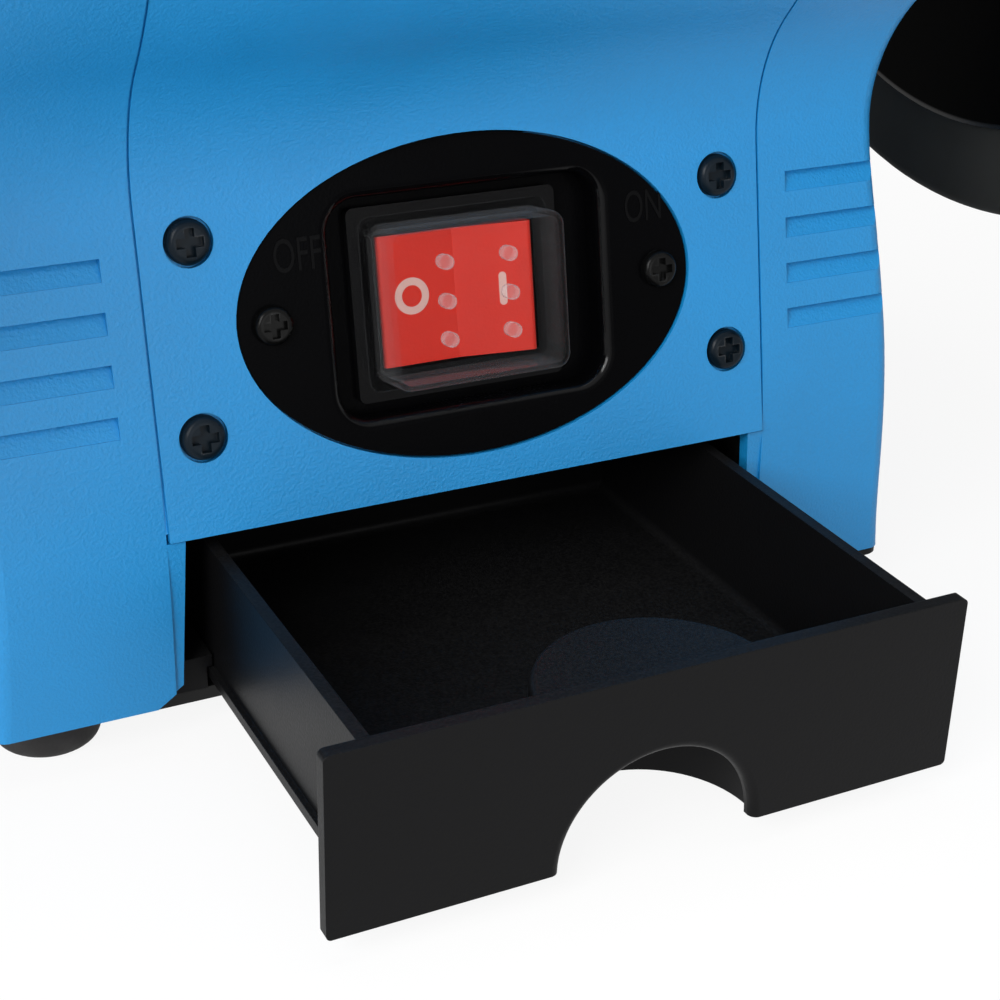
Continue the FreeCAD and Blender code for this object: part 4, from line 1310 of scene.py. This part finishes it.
@dataclass
class SwitchStation(Assembly):
    """The oval bezel, the switch under its clear cap, and the marks on both."""

    plane: PanelPlane = field(default_factory=PanelPlane)
    ring_place: tuple[float, float] = (-8.6 * MM, 0.5 * MM)
    bar_place: tuple[float, float] = (6.3 * MM, 0.0)
    ring_radius: float = 2.3 * MM
    ring_steps: int = 40
    bar_height: float = 5.3 * MM
    bar_steps: int = 8
    stroke: float = 1.2 * MM
    print_height: float = 0.06 * MM
    nub_columns: tuple[float, float] = (-7.1 * MM, 3.6 * MM)
    nub_rows: tuple[float, float, float] = (-5.0 * MM, 0.9 * MM, 6.9 * MM)
    nub_radius: float = 1.2 * MM
    nub_height: float = 1.1 * MM
    off_place: tuple[float, float] = (-28.3 * MM, 9.7 * MM)
    on_place: tuple[float, float] = (31.0 * MM, 10.2 * MM)
    word_size: float = 7.2 * MM
    word_squeeze: float = 0.62
    word_depth: float = 0.2 * MM

    def build(self) -> None:
        """Dress the switch and add its marks."""
        self.dress(("switch_bezel", "rocker", "switch_cover"))
        self.dress(["bezel_screws"], "bezel_screw")
        self.dress(["switch_body"], "switch_black")
        face = Surface(self.frame["nodes"]["rocker"], self.plane)
        self.add_ring(face)
        self.add_bar(face)
        self.add_nubs(Surface(self.frame["nodes"]["switch_cover"], self.plane))
        bezel = Surface(self.frame["nodes"]["switch_bezel"], self.plane)
        self.add_word(bezel, "OFF", "word_off", self.off_place)
        self.add_word(bezel, "ON", "word_on", self.on_place)

    def add_ring(self, face: Surface) -> None:
        """Print the round off mark.

        Args:
            face: The rocker's surface.
        """
        inner, outer = (self.ring_radius + sign * self.stroke / 2 for sign in (-1, 1))
        low, high = -self.print_height, self.print_height
        section = ((inner, low), (outer, low), (outer, high), (inner, high))
        rings = []
        for step in range(self.ring_steps):
            turn = math.tau * step / self.ring_steps
            ring = []
            for radius, level in section:
                across = self.ring_place[0] + radius * math.cos(turn)
                up = self.ring_place[1] + radius * math.sin(turn)
                ring.append(Vector((across, up, level)))
            rings.append(ring)
        shape = swept(rings, loop=True)
        face.drape(shape)
        self.add("off_mark", mesh_from(shape, "off_mark"), "rocker", "red_plastic", "white_print")

    def add_bar(self, face: Surface) -> None:
        """Print the straight on mark.

        Args:
            face: The rocker's surface.
        """
        half = self.stroke / 2
        straight = self.bar_height / 2 - half
        outline = []
        for sign in (1, -1):
            for step in range(self.bar_steps + 1):
                turn = math.pi * step / self.bar_steps
                across = self.bar_place[0] + sign * half * math.cos(turn)
                up = self.bar_place[1] + sign * (straight + half * math.sin(turn))
                outline.append((across, up))
        levels = (-self.print_height, self.print_height)
        rings = [[Vector((across, up, level)) for across, up in outline] for level in levels]
        shape = swept(rings, loop=False)
        face.drape(shape)
        self.add("on_mark", mesh_from(shape, "on_mark"), "rocker", "red_plastic", "white_print")

    def add_nubs(self, face: Surface) -> None:
        """Stand the two columns of grip nubs on the clear cap.

        Args:
            face: The cap's surface.
        """
        places = [face.at(across, up)[0] for across in self.nub_columns for up in self.nub_rows]
        nubs = GripNubs(self.paints.get("frosted_plastic"))
        sizes = {"Radius": self.nub_radius, "Height": self.nub_height, "Facing": tuple(face.out)}
        made = nubs.run(places, [], **sizes)
        self.add("grip_nubs", made, "base", "clear_plastic", "frosted_plastic")

    def add_word(self, face: Surface, text: str, name: str, middle: tuple[float, float]) -> None:
        """Raise a word on the bezel.

        Args:
            face: The bezel's surface.
            text: The word.
            name: The piece's name.
            middle: Where its middle is, across and up the panel.
        """
        curve = bpy.data.curves.new(name, "FONT")
        curve.body = text
        curve.size = self.word_size
        curve.extrude = self.word_depth / 2
        curve.align_x = "CENTER"
        curve.align_y = "CENTER"
        holder = bpy.data.objects.new(name + "_text", curve)
        bpy.context.scene.collection.objects.link(holder)
        graph = bpy.context.evaluated_depsgraph_get()
        mesh = bpy.data.meshes.new_from_object(holder.evaluated_get(graph), depsgraph=graph)
        bpy.data.objects.remove(holder)
        point, _ = face.at(*middle)
        place = self.plane.matrix
        place.translation = point
        mesh.transform(place @ Matrix.Diagonal((self.word_squeeze, 1.0, 1.0, 1.0)))
        self.add(name, mesh, "base", "black_gloss", "raised_black")


@dataclass
class StorageDrawer(Assembly):
    """The black drawer and the rails that carry it."""

    def build(self) -> None:
        """Dress the drawer and its rails."""
        self.dress(("drawer", "left_drawer_rail", "right_drawer_rail"))


@dataclass
class Stand(Assembly):
    """The base plate and its edging under the right cheek, the feet, the frame and the gland."""

    edging_reach: float = 80.9 * MM
    edging_depth: float = 55.9 * MM
    edging_start: float = 53.6 * MM
    edging_width: float = 5.0 * MM
    edging_corner: float = 2.4 * MM
    edging_steps: int = 6
    edging_chamfer: float = 0.3 * MM
    edging_low: float = 7.5 * MM
    edging_high: float = 8.98 * MM

    def build(self) -> None:
        """Dress the stand and add the edging."""
        self.dress(("base_plate", "rubber_feet", "foot_screws", "pedestal_frame", "cable_gland"))
        low, high = self.edging_low, self.edging_high
        insets = (self.edging_chamfer, 0.0, 0.0, self.edging_width, self.edging_width)
        heights = (low, low + self.edging_chamfer, high, high, low)
        lines = [self.edging_line(inset) for inset in insets]
        rings = [
            [Vector((x, y, height)) for (x, y), height in zip(station, heights)]
            for station in zip(*lines)
        ]
        mesh = mesh_from(swept(rings, loop=False), "base_edging")
        self.add("base_edging", mesh, "base", "black_plastic", "black_plastic")

    def edging_line(self, inset: float) -> list[tuple[float, float]]:
        """Follow the cheek's bottom edge from front to back.

        Args:
            inset: How far inside the edging's outer edge the line runs.

        Returns:
            The line's points.
        """
        radius = max(self.edging_corner - inset, self.edging_chamfer)
        across = self.edging_reach - inset - radius
        back = self.edging_depth - inset - radius
        line = [(self.edging_start, -back - radius)]
        for way, first in ((-1, -90), (1, 0)):
            for step in range(self.edging_steps + 1):
                turn = math.radians(first + 90 * step / self.edging_steps)
                x, y = radius * math.cos(turn), radius * math.sin(turn)
                line.append((across + x, way * back + y))
        line.append((self.edging_start, back + radius))
        return line


@dataclass
class Motor(Assembly):
    """The motor inside the covers and its cast ends."""

    def build(self) -> None:
        """Dress the motor."""
        self.dress(("motor_cradle", "stator_core", "stator_windings", "rotor_core", "shaft"))
        self.dress(("bearing_outer_rings", "bearing_inner_rings", "bearing_balls", "run_capacitor"))
        self.dress(side.prefix + "end_bell" for side in Side)


@dataclass
class WheelEnd(Assembly):
    """One wheel with its guard, rest, spark arrestor and eye shield."""

    side: Side = Side.RIGHT
    pieces: tuple[str, ...] = (
        "outer_guard",
        "wheel",
        "inner_flange",
        "outer_flange",
        "wheel_nut",
        "rest_bracket",
        "tool_rest",
        "spark_arrestor",
        "shield_bracket",
        "shield_holder",
        "eye_shield",
    )

    def build(self) -> None:
        """Dress this end."""
        self.dress(self.side.prefix + piece for piece in self.pieces)
        self.dress([self.side.prefix + "inner_guard"], "guard_paint")


@dataclass
class EndFasteners(Assembly):
    """The fasteners of both wheel ends."""

    def build(self) -> None:
        """Dress the fasteners."""
        self.dress(("guard_bolts", "guard_screws", "rest_bolts", "spark_screws", "shield_pivots"))


@dataclass(frozen=True)
class SoftLamp:
    """One rectangular studio lamp."""

    name: str
    place: tuple[float, float, float]
    size: float
    power: float


@dataclass
class Studio:
    """The white floor, the soft lamps and the camera."""

    target: tuple[float, float, float] = (0.0, -0.05, 0.09)
    lamps: tuple[SoftLamp, ...] = (
        SoftLamp("key_lamp", place=(-0.5, -0.42, 0.42), size=0.4, power=5.3),
        SoftLamp("fill_lamp", place=(0.05, -1.05, 0.16), size=0.6, power=2.0),
        SoftLamp("top_lamp", place=(0.0, 0.1, 1.3), size=1.0, power=7.0),
    )
    sky: float = 0.38
    floor_span: float = 12.0
    floor_drop: float = 0.05 * MM
    floor_shadow: float = 0.1
    floor_pale: Colour = (0.95, 0.95, 0.95)
    floor_bounce: Colour = (0.7, 0.7, 0.7)
    eye: tuple[float, float, float] = (-0.12523, -0.3058, 0.1713)
    turn: float = math.radians(-27.07)
    tilt: float = math.radians(26.12)
    roll: float = math.radians(1.54)
    lens: float = 69.79
    film: float = 36.0
    clip_start: float = 0.01

    def build(self) -> None:
        """Set up everything round the machine."""
        self.add_sky()
        self.add_floor()
        for lamp in self.lamps:
            self.add_lamp(lamp)
        self.add_camera()
        bpy.context.scene.view_settings.view_transform = "Standard"
        LOG.info("studio ready")

    def add_sky(self) -> None:
        """Light from all round, white where it is looked at or mirrored."""
        world = bpy.data.worlds.new("studio_sky")
        world.use_nodes = True
        bpy.context.scene.world = world
        graph = Graph(world.node_tree)
        level = graph.watched() * (1.0 - self.sky) + self.sky
        shine = graph.out("ShaderNodeBackground", None, {"Color": WHITE, "Strength": level})
        graph.node("ShaderNodeOutputWorld", None, {0: shine})

    def add_floor(self) -> None:
        """Lay the white floor, which keeps part of the machine's shadow."""
        shape = bmesh.new()
        half = self.floor_span / 2
        corners = ((-half, -half), (half, -half), (half, half), (-half, half))
        shape.faces.new([shape.verts.new((x, y, -self.floor_drop)) for x, y in corners])
        mesh = mesh_from(shape, "floor")
        shader = Shader("floor_white")
        watched = shader.watched()
        pale = shader.mix(watched, self.floor_bounce, self.floor_pale)
        matt = shader.out("ShaderNodeBsdfDiffuse", None, {"Color": pale})
        white = shader.out("ShaderNodeEmission", None, {"Color": WHITE, "Strength": 1.0})
        amount = watched * (1.0 - self.floor_shadow)
        mixed = shader.out("ShaderNodeMixShader", None, {0: amount, 1: matt, 2: white})
        mesh.materials.append(shader.close(mixed))
        floor = bpy.data.objects.new("floor", mesh)
        bpy.context.scene.collection.objects.link(floor)

    def add_lamp(self, lamp: SoftLamp) -> None:
        """Hang one lamp, turned to the machine.

        Args:
            lamp: The lamp.
        """
        data = bpy.data.lights.new(lamp.name, "AREA")
        data.energy = lamp.power
        data.size = lamp.size
        made = bpy.data.objects.new(lamp.name, data)
        made.location = lamp.place
        aim = Vector(self.target) - Vector(lamp.place)
        made.rotation_euler = aim.to_track_quat("-Z", "Y").to_euler()
        bpy.context.scene.collection.objects.link(made)

    def add_camera(self) -> None:
        """Stand the camera where the photograph was taken."""
        ahead = Vector((
            -math.sin(self.turn) * math.cos(self.tilt),
            math.cos(self.turn) * math.cos(self.tilt),
            -math.sin(self.tilt),
        ))
        level = Vector((math.cos(self.turn), math.sin(self.turn), 0.0))
        upright = level.cross(ahead)
        right = level * math.cos(self.roll) + upright * math.sin(self.roll)
        up = upright * math.cos(self.roll) - level * math.sin(self.roll)
        data = bpy.data.cameras.new("camera")
        data.sensor_width = self.film
        data.lens = self.lens
        data.clip_start = self.clip_start
        made = bpy.data.objects.new("camera", data)
        spin = Matrix((right, up, -ahead)).transposed().to_4x4()
        made.matrix_world = Matrix.Translation(Vector(self.eye)) @ spin
        bpy.context.scene.collection.objects.link(made)
        bpy.context.scene.camera = made


def main() -> None:
    """Build the machine and its studio in order."""
    logging.basicConfig(level=logging.INFO, format="%(name)s: %(message)s")
    bpy.ops.wm.read_factory_settings(use_empty=True)
    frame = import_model()
    paints = Paintbox()
    Studio().build()
    for assembly in (
        Stand(frame, paints),
        Housing(frame, paints),
        SwitchStation(frame, paints),
        StorageDrawer(frame, paints),
        Motor(frame, paints),
        EndFasteners(frame, paints),
        WheelEnd(frame, paints, side=Side.LEFT),
        WheelEnd(frame, paints, side=Side.RIGHT),
    ):
        assembly.build()


if __name__ == "__main__":
    main()
